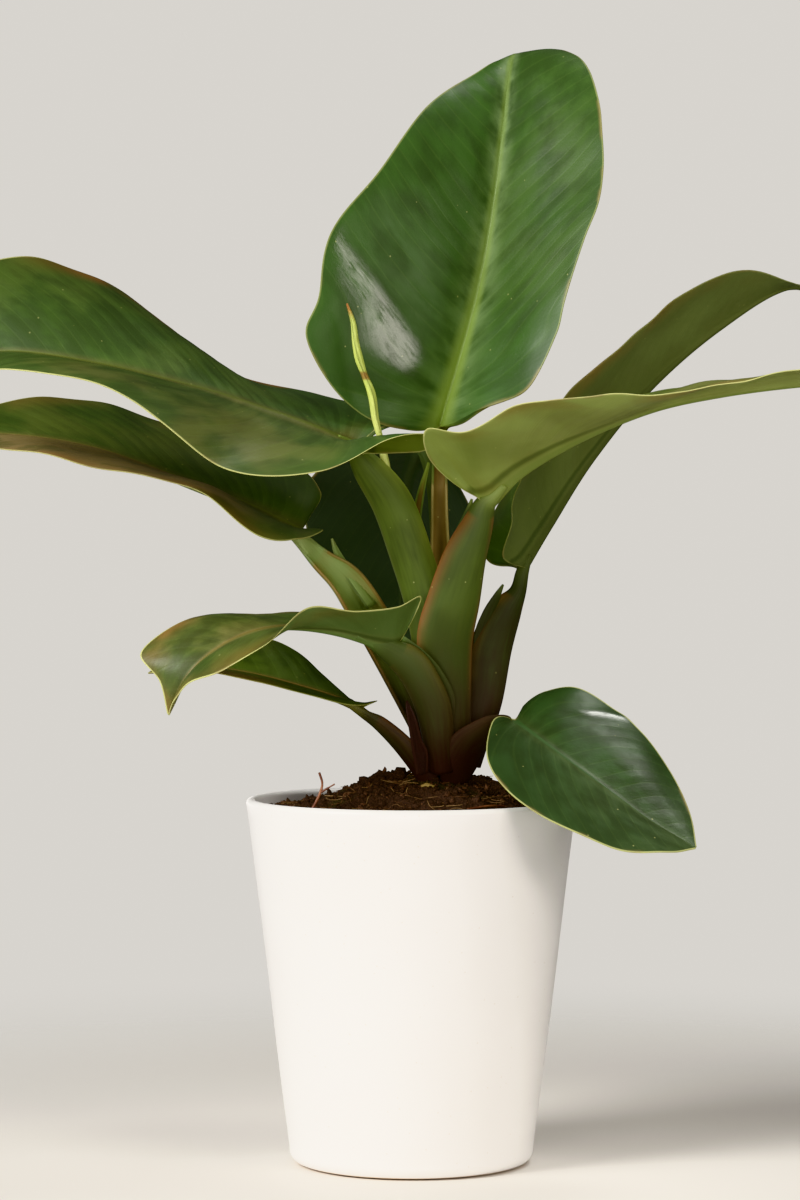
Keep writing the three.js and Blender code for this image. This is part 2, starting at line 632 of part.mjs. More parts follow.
// The stalks listed first keep their form, the later ones are hollowed where they wrap or meet
// them, and all give way to the stem and the soil.
let taken = stem(gap).add(soilBody(gap));
for (const [name, leaf] of Object.entries(leaves)) {
  const body = blade(leaf).add(stalk(leaf, 0)).subtract(taken);
  plant.add(mesh(name, mainPiece(body), '#4a7a30', 0.4));
  taken = taken.add(stalk(leaf, gap));
}
plant.add(mesh('new_leaf', mainPiece(rolledLeaf().subtract(taken)), '#a9c04a', 0.45));

export default plant;
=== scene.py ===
"""A philodendron in a white pot: leaves with ribs, veins and sheathed stalks, soil, litter and glaze."""

import math

import bpy
import numpy as np
from bpy.props import FloatProperty, FloatVectorProperty, IntProperty, PointerProperty
from mathutils import Matrix, Vector


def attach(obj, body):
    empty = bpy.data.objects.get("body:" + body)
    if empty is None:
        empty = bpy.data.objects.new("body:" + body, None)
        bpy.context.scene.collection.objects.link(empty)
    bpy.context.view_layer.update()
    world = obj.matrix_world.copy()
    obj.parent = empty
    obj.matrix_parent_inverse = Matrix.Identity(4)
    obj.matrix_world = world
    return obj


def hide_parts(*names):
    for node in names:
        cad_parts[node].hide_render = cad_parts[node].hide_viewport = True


bl_info = {
    "name": "Potted philodendron",
    "version": (1, 0, 0),
    "blender": (4, 5, 0),
    "location": "3D View > Sidebar > Philodendron",
    "description": "Builds a philodendron's leaves, stalks, soil and pot around their solids",
    "category": "Add Mesh",
}

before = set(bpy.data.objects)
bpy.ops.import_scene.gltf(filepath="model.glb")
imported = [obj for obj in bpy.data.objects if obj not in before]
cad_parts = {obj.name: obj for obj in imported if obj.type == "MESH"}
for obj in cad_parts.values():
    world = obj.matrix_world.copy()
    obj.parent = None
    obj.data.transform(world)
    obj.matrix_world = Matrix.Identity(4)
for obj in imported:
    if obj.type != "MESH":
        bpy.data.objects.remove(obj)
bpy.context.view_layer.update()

# Lengths are in millimetres until Body.piece turns them into metres. Finishes, lights and the camera
# are in metres.
MM = 0.001

# The pot.
POT_HEIGHT = 148.2
RIM_RADIUS = 67.4
FOOT_RADIUS = 49.2
POT_WALL = 4.2
POT_FLOOR = 5.0
HEEL_ROUND = 5.0

# The soil: its height at the wall, its gap to the pot, the rings and sides of its mesh, its clods as
# [x, y, rise, spread], and the ripples of its relief as [length, height].
SOIL_EDGE = 143.2
GAP = 0.3
SOIL_RINGS = 105
SOIL_SIDES = 210
CLODS = [[8, 0, 13, 28], [-13, 6, 5, 8], [33, 8, 4, 8], [-34, -12, 2, 9], [20, -34, 2.5, 10]]
RELIEF = [[13, 0.7], [6.5, 0.5], [3.4, 0.35], [1.9, 0.2]]

# Twigs on the soil: their points and radius.
TWIGS = [
    ([[-40, -50, 146.5], [-38, -50, 150], [-36, -50, 154.5], [-35.4, -50, 158], [-36.6, -50, 162]],
     0.55),
    ([[-36.2, -50, 154], [-33, -51, 156], [-30.5, -51.5, 157.5]], 0.4),
    ([[-33, -52, 147.5], [-26, -53, 146.8], [-20, -52, 146]], 0.5),
    ([[22, -44, 147], [31, -40, 148], [38, -35, 147.5]], 0.45)]

# The stem: its axis, its radius and its lowest and highest point.
STEM_PLACE = (14.5, 0.0)
STEM_RADIUS = 8.0
STEM_ENDS = (104.0, 190.0)

# A stalk's thickness at its wings, no more than that share of its half width, and under its channel.
# NO_EDGE is added to the distance from a wing's edge where its colour may not show.
STALK_WALL = 1.1
WING_SHARE = 0.45
STALK_FLOOR = 1.0
NO_EDGE = 30

# Half a blade's thickness at its edge, and the steps in which a spline is measured. Then shares: a
# blade's bulge of its width, how far a side vein leans ahead of its distance from the midrib and what
# that gains towards the edge, the midrib's taper to the tip, and, of the midrib's depth, its rise on
# top and the half widths of its bell and of its painted band.
EDGE_HALF = 0.2
FINE_STEPS = 1201
BLADE_SWELL = 0.2
VEIN_LEAN = 0.28
VEIN_BEND = 0.3
RIB_TAPER = 0.85
RIB_RISE = 0.55
RIB_BELL = 1.25
RIB_PAINT = 1.5

# Leaves: the midrib's points, the edges as rows of [share of the midrib's length, x, y, z of the left
# edge, x, y, z of the right edge] as seen from above with the tip ahead, and the stalk's stations as
# [x, y, z, left half width, right half width, depth of the back, depth of the channel, lift of the
# wings]. facing is the side on which the channel opens, rib the midrib's depth at the base, and ear
# the sheath's free tip, as rows of [x, y, z, half width].
LEAVES = {
    "leaf_small_left": dict(
        rib=1.8, facing=[0.25, 0.95, 0.2],
        midrib=[[-6.5, -30, 209.5], [-26.5, -40, 216.5], [-44, -50, 219.5], [-59, -58, 218.5],
            [-73, -64, 213], [-86.5, -68, 202], [-95.5, -62, 185]],
        edges=[[0, 4, -35, 230, -3, -16, 212.5], [0.02, -5.5, -46, 227.5, -8, -8, 217],
            [0.09, -21, -56, 226.5, -23, -10, 221], [0.24, -40.5, -66, 226.5, -45, -16, 223.5],
            [0.44, -57, -78, 213.5, -64.5, -30, 224.5], [0.62, -72.5, -80, 204.5, -88, -44, 222.5],
            [0.76, -86, -78, 199, -106.5, -58, 210.5], [0.9, -92.5, -70, 192, -98.5, -64, 198.5]],
        stalk=[[12.5, -12, 160.5, 6, 6, 5, 2, 1], [10.5, -17, 173.5, 6.6, 6.6, 5, 3, 1],
            [8.5, -21, 186, 7.4, 7.6, 5, 3.5, 1], [4, -25, 196.5, 7.4, 7.4, 4.5, 3.5, 1],
            [-1.5, -28, 204.5, 7.2, 7.2, 4, 2.5, 1], [-8.5, -30, 210, 4.8, 5.6, 3.5, -0.5, 0],
            [-16, -33, 213.5, 2.4, 3, 3, -1, 0], [-22.5, -38, 216, 1.6, 1.6, 2, -1, 0]],
        ear=[[14, -17, 180, 3], [13.2, -19.5, 189.5, 4.4], [8.5, -23, 199.5, 4.2], [3.5, -26, 207, 3],
            [-2, -28, 213, 1.4], [-5.5, -29, 216, 0.5]]),
    "leaf_low_right": dict(
        rib=1.6, facing=[-0.4, 0.5, 0.7],
        midrib=[[41.5, -14, 180], [47.5, -22, 176], [59, -34, 168], [74.5, -46, 157], [93.5, -56, 143.5],
            [111.5, -62, 133]],
        edges=[[0, 44.5, -9, 182, 37, -18, 182], [0, 45.5, -4, 186, 32, -26, 180],
            [0.03, 54.5, -2, 192, 30, -42, 166.5], [0.12, 68.5, -6, 193, 38.5, -58, 154],
            [0.3, 87.5, -14, 181, 57.5, -68, 143], [0.55, 101, -28, 165.5, 79, -72, 134],
            [0.82, 109.5, -46, 147.5, 98, -70, 132]],
        stalk=[[17, -6, 154.5, 6, 6, 5, 2, 1], [20, -10, 163.5, 9.5, 9.5, 5, 3, 1],
            [23.5, -13, 172, 11, 10.5, 5, 3, 1], [29, -15, 177.5, 7.5, 7.5, 4, 2, 0.5],
            [35, -14, 181, 3.6, 3.6, 3, -0.5, 0], [41, -14, 180, 2.4, 2.4, 2.4, -1, 0],
            [46, -20, 176.5, 1.5, 1.5, 1.8, -1, 0]]),
    "leaf_low_left": dict(
        rib=1.4, facing=[0.5, 0.3, 0.8],
        midrib=[[-21, -8, 185], [-30, -10, 189], [-45, -14, 194], [-65, -20, 199.5], [-85, -26, 202.5],
            [-105.5, -32, 200.5]],
        edges=[[0, -14, -14, 188.5, -25, 0, 188], [0.03, -20, -26, 187.5, -30, 6, 190.5],
            [0.12, -32.5, -34, 189.5, -36.5, 10, 199], [0.28, -48.5, -38, 193.5, -46.5, 6, 207.5],
            [0.48, -68, -44, 199.5, -61, 0, 213.5], [0.7, -87, -46, 202, -78.5, -8, 213],
            [0.88, -98, -42, 201.5, -93, -20, 207.5]],
        stalk=[[9, -5, 155, 6, 6, 5, 1, 0.5], [2, -7, 165, 6.8, 6.8, 5, 2, 1],
            [-5, -8, 173, 6.2, 6.2, 4.5, 2, 1], [-12.5, -8, 180, 4.4, 4.4, 4, 1, 0.5],
            [-19, -8, 184, 3, 3, 3, -1, 0], [-25, -9, 187.5, 1.8, 1.8, 2, -1, 0]]),
    "leaf_front_right": dict(
        rib=3.2, facing=[-0.2, 0.95, 0.1],
        midrib=[[30, -34, 268.5], [43, -42, 281.5], [65.5, -58, 294.5], [92, -78, 305],
            [117.5, -96, 310], [146.5, -110, 313], [171, -118, 313.5]],
        edges=[[0, 24.5, -18, 275.5, 14, -48, 278], [0, 22, -6, 288, 6, -58, 287],
            [0, 23, 0, 293.5, 6, -70, 296.5], [0.03, 32, 3, 298, 20.5, -82, 296.5],
            [0.09, 54.5, 4, 305, 39.5, -92, 305], [0.21, 78.5, -6, 309.5, 71.5, -102, 309],
            [0.38, 110.5, -34, 314.5, 104.5, -118, 309.5], [0.6, 137.5, -66, 318, 134, -128, 316.5],
            [0.82, 159.5, -96, 316.5, 156.5, -128, 318]],
        stalk=[[17.5, -8, 165, 7, 7, 5, 2, 1], [16.5, -12, 180.5, 8, 8, 5, 3, 1],
            [15, -15, 197, 9.5, 10, 5, 3, 1], [15, -19, 213.5, 10, 13, 5, 3.5, 1],
            [19, -24, 229.5, 8.8, 12.8, 5, 3.5, 1], [23.5, -29, 245.5, 6.4, 11.5, 5, 3, 1],
            [27, -32, 257.5, 5.3, 8.6, 4.8, 2, 1], [29, -34, 267, 4.4, 5, 4, 0, 0],
            [32.5, -36, 271, 3, 3, 3.5, -1, 0], [37, -39, 276, 2, 2, 2.5, -1, 0]],
        ear=[[13, -24, 238, 3], [18, -27, 252, 2.8], [22, -29, 263, 1.8], [24, -30, 270, 0.5]]),
    "leaf_upper_left": dict(
        rib=3, facing=[0.4, 0.9, 0.1],
        midrib=[[-22, -22, 289.5], [-36.5, -28, 297], [-56.5, -34, 304.5], [-84, -42, 313],
            [-123, -48, 322.5], [-162.5, -48, 328], [-193, -40, 320.5]],
        edges=[[0, -8.5, -34, 288, -15, -8, 298], [0, 5.5, -46, 289.5, -6.5, 4, 300.5],
            [0, 6.5, -58, 295.5, -6.5, 14, 304], [0.02, -9.5, -68, 292.5, -17, 20, 307.5],
            [0.08, -36.5, -82, 280, -39.5, 24, 313.5], [0.21, -71.5, -88, 282, -78, 20, 324.5],
            [0.4, -107.5, -92, 307.5, -118.5, 2, 355], [0.62, -143, -88, 319.5, -154, -25, 367],
            [0.83, -175.5, -64, 319.5, -179, -48, 354]],
        stalk=[[13, -4, 169, 6, 6, 5, 2, 1], [10.5, -6, 188.5, 8, 7, 5.5, 3, 1],
            [7.5, -8, 209, 8, 7.5, 5.5, 3, 1], [5, -10, 228.5, 9, 9, 5.5, 3, 1],
            [-0.5, -13, 247.5, 9.3, 9.3, 5.5, 3, 1], [-8, -17, 268, 9, 9, 5, 3, 1],
            [-17, -20, 281.5, 7, 7, 4.5, 1, 0.5], [-24, -22, 290.5, 3.5, 3.5, 3.5, -1, 0],
            [-30.5, -26, 294.5, 2, 2, 2.5, -1, 0]]),
    "leaf_rear_right": dict(
        rib=2.8, facing=[-0.5, 0.8, 0.2],
        midrib=[[45, 20, 242], [56.5, 34, 260], [75.5, 54, 288], [102, 74, 318.5], [132.5, 86, 344],
            [163.5, 92, 361.5], [187, 92, 354]],
        edges=[[0, 37, 34, 242.5, 39, 10, 244.5], [0, 32, 48, 244.5, 37.5, 2, 248.5],
            [0.04, 32, 62, 251, 41, -8, 259.5], [0.1, 36.5, 76, 266.5, 42.5, -10, 273.5],
            [0.22, 68, 98, 307, 61, 12, 308.5], [0.42, 104, 116, 338, 95, 32, 341],
            [0.64, 139, 120, 361, 131, 54, 365], [0.85, 166, 108, 360.5, 161, 78, 363.5]],
        stalk=[[24, 4, 161.5, 5, 6, 4, 1, 0.5], [27, 6, 172.5, 6, 8, 4.5, 2, 1],
            [31.5, 9, 187.5, 7, 11, 4.5, 2.5, 1], [35, 13, 208, 7.6, 13, 4.5, 2.5, 1],
            [40, 16, 223.5, 6.5, 9, 4, 2, 1], [43.5, 18, 232, 4, 4, 3.5, 0, 0],
            [45.5, 20, 240, 3, 3, 3, -1, 0], [48, 23, 246.5, 1.8, 1.8, 2.2, -1, 0]],
        ear=[[29, 7.8, 201, 2.6], [28.8, 7.8, 213, 4], [31.6, 9, 222.5, 3.4], [35, 10.8, 230, 1.9],
            [37.6, 12, 235, 0.5]]),
    "leaf_lower_left": dict(
        rib=2.6, facing=[0.5, -0.8, 0.3],
        midrib=[[-45.5, -4, 256], [-66, 0, 266.5], [-89.5, 2, 276], [-129, 4, 290.5], [-168, 4, 296.5],
            [-196, 0, 294]],
        edges=[[0, -36, -20, 257, -41.5, 12, 263], [0.02, -44.5, -40, 254.5, -38, 28, 272.5],
            [0.08, -59, -52, 256, -50.5, 42, 284.5], [0.21, -87.5, -52, 274, -92.5, 44, 299],
            [0.4, -123, -48, 281.5, -130, 40, 310.5], [0.62, -156, -36, 290, -162, 26, 311],
            [0.83, -183, -16, 291.5, -185.5, 8, 303]],
        stalk=[[8.5, 3, 169.5, 6, 6, 5, 2, 1], [0, 2, 189, 8, 8, 5, 3, 1],
            [-11, -1, 210.5, 9, 9, 5, 3, 1.5], [-22, -3, 229, 8.5, 9, 4.5, 3, 1.5],
            [-29, -4, 238, 7, 8, 4, 2.5, 1.5], [-36.5, -4, 245.5, 5.5, 5, 4, 1, 0.5],
            [-44, -4, 253, 3.5, 3.5, 3.5, -1, 0], [-51, -3, 259, 2, 2, 2.5, -1, 0]],
        ear=[[-16, 0, 226.5, 3], [-25, 1, 239, 2.6], [-30, 2, 247.5, 1.8], [-32.5, 2, 254, 0.5]]),
    "leaf_top": dict(
        rib=3.2, facing=[0, -1, 0.1],
        midrib=[[11.5, 12, 299], [19, 14, 324], [27.5, 18, 356], [33.5, 24, 389.5], [38, 34, 423.5],
            [42.5, 52, 455.5], [49.5, 86, 454]],
        edges=[[0, 0, 2, 298, 20, 2, 301], [0, -16, -8, 302, 32.5, -12, 308],
            [0.02, -31.5, -14, 315, 47.5, -24, 314.5], [0.08, -42.5, -16, 335.5, 57, -26, 335.5],
            [0.16, -37.6, -12, 351.5, 61, -23, 349.5], [0.28, -32.7, -7.5, 377.7, 69.5, -18.5, 374],
            [0.41, -13, 3, 403.5, 76.5, -12, 395.5], [0.62, 7, 24, 432.5, 77, 6, 428],
            [0.79, 32, 48, 451.5, 71, 32, 452], [0.91, 43, 68, 456.5, 58.5, 60, 459.5]],
        stalk=[[15, 2, 167, 6, 6, 5, 3, 1], [14, 4, 188, 7, 7, 5, 3, 1], [13, 5, 212.5, 6, 6, 5, 3, 1],
            [12, 6, 237, 4.5, 4.5, 4.5, 2.5, 1], [11.5, 8, 261.5, 3.6, 3.6, 4, 1.5, 0.8],
            [11.5, 10, 282, 3.2, 3.2, 3.5, 0.5, 0.4], [12, 12, 297.5, 2.6, 2.6, 3, -1, 0],
            [14, 13, 306, 1.6, 1.6, 2.5, -1, 0]],
        ear=[[7, 4.5, 222, 3], [3, 3.5, 240, 2.8], [1.5, 3, 256, 2.2], [3.5, 2.5, 271, 1.6],
            [7, 2, 285, 0.5]]),
    "leaf_back": dict(
        rib=2, facing=[0, -1, 0.3],
        midrib=[[4, 62, 291.5], [-1.5, 84, 278.5], [-3, 104, 252.5], [-4.5, 112, 226.5],
            [-5.5, 106, 204.5]],
        edges=[[0, -10, 58, 295, 10.5, 60, 291], [0.02, -30, 62, 290, 15, 62, 283.5],
            [0.1, -45, 76, 274, 24.5, 74, 268], [0.26, -43.5, 90, 252.5, 27, 88, 248.5],
            [0.48, -33, 104, 231, 20.5, 100, 227.5], [0.75, -20, 110, 213.5, 8.5, 108, 212.5]],
        stalk=[[15, 8, 168, 5, 5, 4, 2, 1], [14.5, 14, 187.5, 5, 5, 4, 2, 1],
            [12.5, 28, 220, 4.5, 4.5, 4, 1.5, 1], [11.5, 43, 253, 3.6, 3.6, 3.5, 1, 0.5],
            [9, 56, 279, 3, 3, 3, -1, 0], [4, 63, 292.5, 2.4, 2.4, 2.5, -1, 0],
            [1.5, 73, 288, 1.6, 1.6, 2, -1, 0]]),
}

# Folds that run out along the side veins: the half of the blade, -1 for the left one, the place and the
# width in turns of the vein count, the height, and from where to where along the half they rise.
FOLDS = {
    "leaf_top": (-1, 4.3, 1.5, 0.5, 0.02, 0.25),
    "leaf_low_right": (-1, 3.0, 0.55, 0.36, 0.5, 0.7),
}
NO_FOLD = (0, 0, 1, 0, 0, 1)

# The rolled new leaf: [x, y, z, radius].
NEW_LEAF = [
    [-6, -16, 260, 2], [-8.5, -18, 272, 2.1], [-10.5, -20, 284, 1.9], [-12.5, -20, 294, 1.4],
    [-14.5, -20, 302, 1.6], [-16, -20, 312, 1.8], [-19, -20, 320, 1.4], [-21, -20, 326, 1.8],
    [-22.5, -20, 333, 1.5], [-23.5, -20, 341, 1.1], [-26, -20, 348.5, 0.4]]

# Dry bits at the crown: two colours, the side that they face, and stations like a stalk's.
DRY_BITS = {
    "maroon_scale": ("#2b1610", "#180c08", [0.2, -0.9, 0.2], [
        [4, -19, 159, 2, 2.6, 0.7, -0.4, 0], [2.8, -21.5, 167, 2.4, 4, 0.7, -0.4, 0],
        [1.6, -23.5, 173, 2.1, 2.6, 0.7, -0.4, 0], [0.2, -26, 181, 1.9, 1.9, 0.7, -0.4, 0],
        [-1.2, -27, 186, 1.2, 1.2, 0.6, -0.4, 0], [-2, -27, 189.3, 0.35, 0.35, 0.5, -0.4, 0]]),
    "pale_chip": ("#b39a63", "#8a6a3f", [0, -0.6, 0.8], [
        [9, -19.5, 154.4, 0.9, 0.9, 0.6, -0.4, 0], [6.2, -20.5, 155, 1.1, 1.1, 0.6, -0.4, 0],
        [3.8, -21, 154.6, 0.35, 0.35, 0.5, -0.4, 0]]),
}

# How strong each mark of a leaf is, where its look doesn't say: rust on the left and right margin,
# brown on the left half, the right half and the midrib, the side veins, the pale edge, the painted
# greyish sheen beside the midrib, roughness added on the right half, and the sheath's olive brown.
# spread is how far from the midrib its colour fades out, in painted half widths.
MARKS = dict(
    rust=(0, 0), brown=(0, 0, 0), vein=0.04, edge=0.3, painted_sheen=0.05, dull=0, sheath=0.88, spread=1.25)

# Each leaf's colours, in the order of TONES, and its own marks. upper is its top, fresh where that is
# fresher, lower its underside, wing the margins of its stalk and shank the stalk's back.
TONES = ("upper", "fresh", "lower", "rib", "wing", "shank", "channel")
LOOKS = {
    "leaf_top": ("#344a27 #3f5b30 #6f7d34 #758a44 #b3a070 #5b6c36 #5e3a22", dict(
        brown=(0, 0.05, 0), spread=3.3, painted_sheen=0.55)),
    # leaf_upper_left's stalk colour (shank) is darkened: painted shade, for the shadow of the leaf above
    # it.
    "leaf_upper_left": ("#3d5130 #486335 #6b7a38 #5f6b35 #8f9a4a #5f6f3b #6f8438", dict(
        rust=(0, 0.95), brown=(0.3, 0.1, 0.2), dull=0.08, edge=0.9)),
    # leaf_lower_left's underside (lower) and channel colours are lightened: painted light, making up for
    # the shade that falls on them.
    "leaf_lower_left": ("#384a26 #44562c #87885a #5c6434 #8a6a40 #879a66 #879b60", dict(
        rust=(0.4, 0.2), brown=(3, 0.1, 0.2), vein=0.03, edge=0.6)),
    "leaf_front_right": ("#4c5a2a #566c2f #98a662 #6f8040 #a5694a #516034 #6a5a34", dict(
        rust=(0.12, 0.3), brown=(0.35, 0.3, 0.1), edge=0.8)),
    # leaf_rear_right's stalk colour (shank) is darkened: painted shade, for the shadow it stands in.
    "leaf_rear_right": ("#33451f #3d5226 #69764b #52662f #8a5a34 #2c311b #4e5328", dict(
        rust=(0.1, 0.3), brown=(0.1, 0.1, 0.1))),
    # leaf_back's colours are darkened to near black-green: painted shade, for the shade it hangs in
    # behind the other leaves.
    "leaf_back": ("#26341a #2e3e1e #3a4537 #26361f #4a4a26 #3c4a24 #3c4a22", dict(
        edge=0.25, painted_sheen=0)),
    "leaf_small_left": ("#3d4b2e #476134 #62754b #70683a #8d7a48 #627646 #5f6c34", dict(
        rust=(0.3, 0.5), brown=(0.2, 0.5, 0.4), vein=0.03, edge=0.9)),
    "leaf_low_left": ("#3a4a24 #4a5c2c #7a7444 #8a7550 #7d5138 #50552b #565a30", dict(
        rust=(0.5, 0.3), brown=(0.5, 0.2, 0.3), vein=0.05, edge=0.4, sheath=0.45)),
    "leaf_low_right": ("#28361f #34492c #5d6f33 #3c5233 #6e4230 #4d4a28 #4c3a22", dict(
        brown=(0.03, 0.05, 0.03), vein=0.03, spread=0.9, dull=0.25, edge=0.7, painted_sheen=0.08)),
}

# Heights at which a colour starts and is full: the stalks' sheaths and feet, and the new leaf's pale
# lower half, browned foot and tip. Then the height of the new leaf's joint. Lengths are in metres.
SHEATH_FADE = (0.232, 0.18)
FOOT_FADE = (0.194, 0.162)
PALE_FADE = (0.315, 0.29)
BROWNED_FADE = (0.277, 0.262)
TIP_FADE = (0.341, 0.3475)
JOINT_HEIGHT = 0.3195

# Lights, in metres: place, aim, sides, tint, the way of the longer side, and the beam in degrees.
LAMPS = {
    "key": ((-1.35, -0.95, 1.05), (0, 0, 0.25), (0.8, 0.8), "#fffdf9", (1, 0, 0), 180),
    "front": ((-0.35, -2.1, 0.12), (0, 0, 0.25), (1.4, 0.2), "#fffaf5", (1, 0, 0), 180),
    "strip": ((1.05, -0.96, 0.614), (-0.01, 0, 0.35), (1.1, 0.28), "#fff6ec", (0.36, 0.3, -0.32), 180),
    "top": ((0.27, 0.05, 0.79), (0.08, -0.04, 0.16), (0.3, 0.3), "#fffdf9", (1, 0, 0), 32),
    "back": ((-0.7, 2.1, 0.15), (0, 0, 0.25), (1.6, 0.25), "#fffaf5", (1, 0, 0), 180),
}

# The camera and how far it looks down, 88 pixels at a focal length of 3800 pixels, and the floor's
# radius and depth. Lengths are in metres.
EYE = (-0.0047, -1.548, 0.2648)
EYE_TILT = math.atan(88 / 3800)
FLOOR_RADIUS = 4
FLOOR_DEPTH = 0.0004


def stacked(*parts):
    """Arrays or numbers that fit together, as the last axis of one array."""
    return np.stack(np.broadcast_arrays(*parts), -1)


def unit(vectors):
    """Vectors scaled to length one."""
    length = np.linalg.norm(vectors, axis=-1, keepdims=True)
    return vectors / np.maximum(length, 1e-9)


def dot(first, second):
    """Products of the vectors, one number each, kept as a last axis."""
    return (first * second).sum(-1, keepdims=True)


def smooth(low, high, values):
    """0 at low, 1 at high, and 3 x^2 - 2 x^3 between them."""
    x = np.clip((values - low) / (high - low), 0, 1)
    return x * x * (3 - 2 * x)


def spline(points, t):
    """Uniform Catmull-Rom through the rows of points at t from 0 to 1, its ends carried on straight."""
    points = np.asarray(points, float)
    carried = np.vstack([2 * points[0] - points[1], points, 2 * points[-1] - points[-2]])
    last = len(points) - 1
    place = np.clip(t, 0, 1) * last
    i = np.minimum(place.astype(int), last - 1)
    f = (place - i)[:, None]
    a, b, c, d = (carried[i + k] for k in range(4))
    start, end = (c - a) / 2, (d - b) / 2
    return (2 * b - 2 * c + start + end) * f**3 + (3 * c - 3 * b - 2 * start - end) * f**2 + start * f + b


def heading(points, t, step=0.001):
    """The unit direction of the spline at t, from a short step each way."""
    return unit(spline(points, t + step) - spline(points, t - step))


def framed(stations, t, facing):
    """The stations' rows at t, and two directions square to the path there: side, and up, which is as
    near to facing as that allows."""
    stations, facing = np.array(stations, float), np.array(facing, float)
    ahead = heading(stations[:, :3], t)
    up = unit(facing - dot(ahead, facing) * ahead)
    return spline(stations, t), np.cross(ahead, up)[:, None], up[:, None]


def reach(line):
    """The distance along a line of points, from 0 at its first."""
    return np.r_[0, np.cumsum(np.linalg.norm(np.diff(line, axis=0), axis=1))]


def distance(points, line):
    """The distance from each point of a grid to the nearest part of a line of points."""
    start, step = line[:-1], np.diff(line, axis=0)
    gap = points[..., None, :] - start
    share = np.clip(dot(gap, step) / dot(step, step), 0, 1)
    return np.linalg.norm(gap - share * step, axis=-1).min(-1)


def ripples(points, length, seed, count=7):
    """A smooth field of about -1 to 1: the sum of sines of that wavelength in random directions."""
    rng = np.random.default_rng(seed)
    waves = unit(rng.normal(size=(count, 3))) * rng.uniform(0.6, 1.5, (count, 1)) * 2 * math.pi / length
    return np.sin(points @ waves.T + rng.uniform(0, 2 * math.pi, count)).sum(-1) / math.sqrt(count)


def scattered(rng, count, far):
    """Random places x, y, spread evenly over a disc of radius far."""
    spread = far * np.sqrt(rng.uniform(0, 1, count))
    angle = rng.uniform(0, 2 * math.pi, count)
    return spread * np.sin(angle), -spread * np.cos(angle)


class Body:
    """Closed skins gathered into one mesh, in millimetres. Each vertex carries two vectors, place and
    kind, that its material reads."""

    def __init__(self):
        self.values = [[], [], []]
        self.faces = []
        self.count = 0

    def skin(self, loops, place=(0, 0, 0), kind=(0, 0, 0)):
        """Adds closed tubes: an array of (tubes, loops, points round a loop, 3), or of one tube without
        the first axis. Quads join each loop to the next, and a fan of triangles closes each end. All
        faces are turned round where the volume that they enclose comes out negative."""
        loops = loops if loops.ndim == 4 else loops[None]
        tubes, n, m = loops.shape[:3]
        i, k = np.meshgrid(np.arange(n - 1), np.arange(m), indexing="ij")
        after = (k + 1) % m
        quads = stacked(i * m + k, i * m + after, (i + 1) * m + after, (i + 1) * m + k).reshape(-1, 4)
        ring, ahead = np.arange(m), (np.arange(m) + 1) % m
        last = (n - 1) * m
        first, final = stacked(n * m, ahead, ring), stacked(n * m + 1, last + ring, last + ahead)
        fans = np.concatenate([first, final])
        for store, values in zip(self.values, (loops, place, kind)):
            values = np.broadcast_to(values, loops.shape)
            ends = values[:, [0, -1]].mean(2)
            store.append(np.concatenate([values.reshape(tubes, n * m, 3), ends], 1).reshape(-1, 3))
        corner = self.values[0][-1][:n * m + 2]
        turn = sum(dot(corner[f[:, 0]], np.cross(corner[f[:, j]], corner[f[:, j + 1]])).sum()
                   for f, j in ((quads, 1), (quads, 2), (fans, 1)))
        starts = self.count + (n * m + 2) * np.arange(tubes)[:, None, None]
        for faces in (quads, fans):
            faces = faces[:, ::-1] if turn < 0 else faces
            self.faces += (faces + starts).reshape(-1, faces.shape[1]).tolist()
        self.count += tubes * (n * m + 2)
        return self

    def piece(self, name, material, slot, *nodes):
        """Makes the object, which rides on the plant and stands for the given nodes."""
        points, place, kind = (np.concatenate(values) for values in self.values)
        mesh = bpy.data.meshes.new(name)
        mesh.from_pydata(points * MM, [], self.faces)
        for key, values in (("place", place), ("kind", kind)):
            attribute = mesh.attributes.new(key, "FLOAT_VECTOR", "POINT")
            attribute.data.foreach_set("vector", values.astype(np.float32).ravel())
        mesh.polygons.foreach_set("use_smooth", np.ones(len(mesh.polygons), bool))
        mesh.materials.append(material)
        mesh.update()
        made = bpy.data.objects.new(name, mesh)
        bpy.context.scene.collection.objects.link(made)
        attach(made, "root")
        if nodes:
            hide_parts(*nodes)
        return made


class Value:
    """An output socket, on which + - and * add Math nodes."""

    def __init__(self, shader, socket):
        self.shader = shader
        self.socket = socket

    def __add__(self, other):
        return self.shader.math("ADD", self, other)

    def __sub__(self, other):
        return self.shader.math("SUBTRACT", self, other)

    def __rsub__(self, other):
        return self.shader.math("SUBTRACT", other, self)

    def __mul__(self, other):
        return self.shader.math("MULTIPLY", self, other)

    __radd__ = __add__
    __rmul__ = __mul__


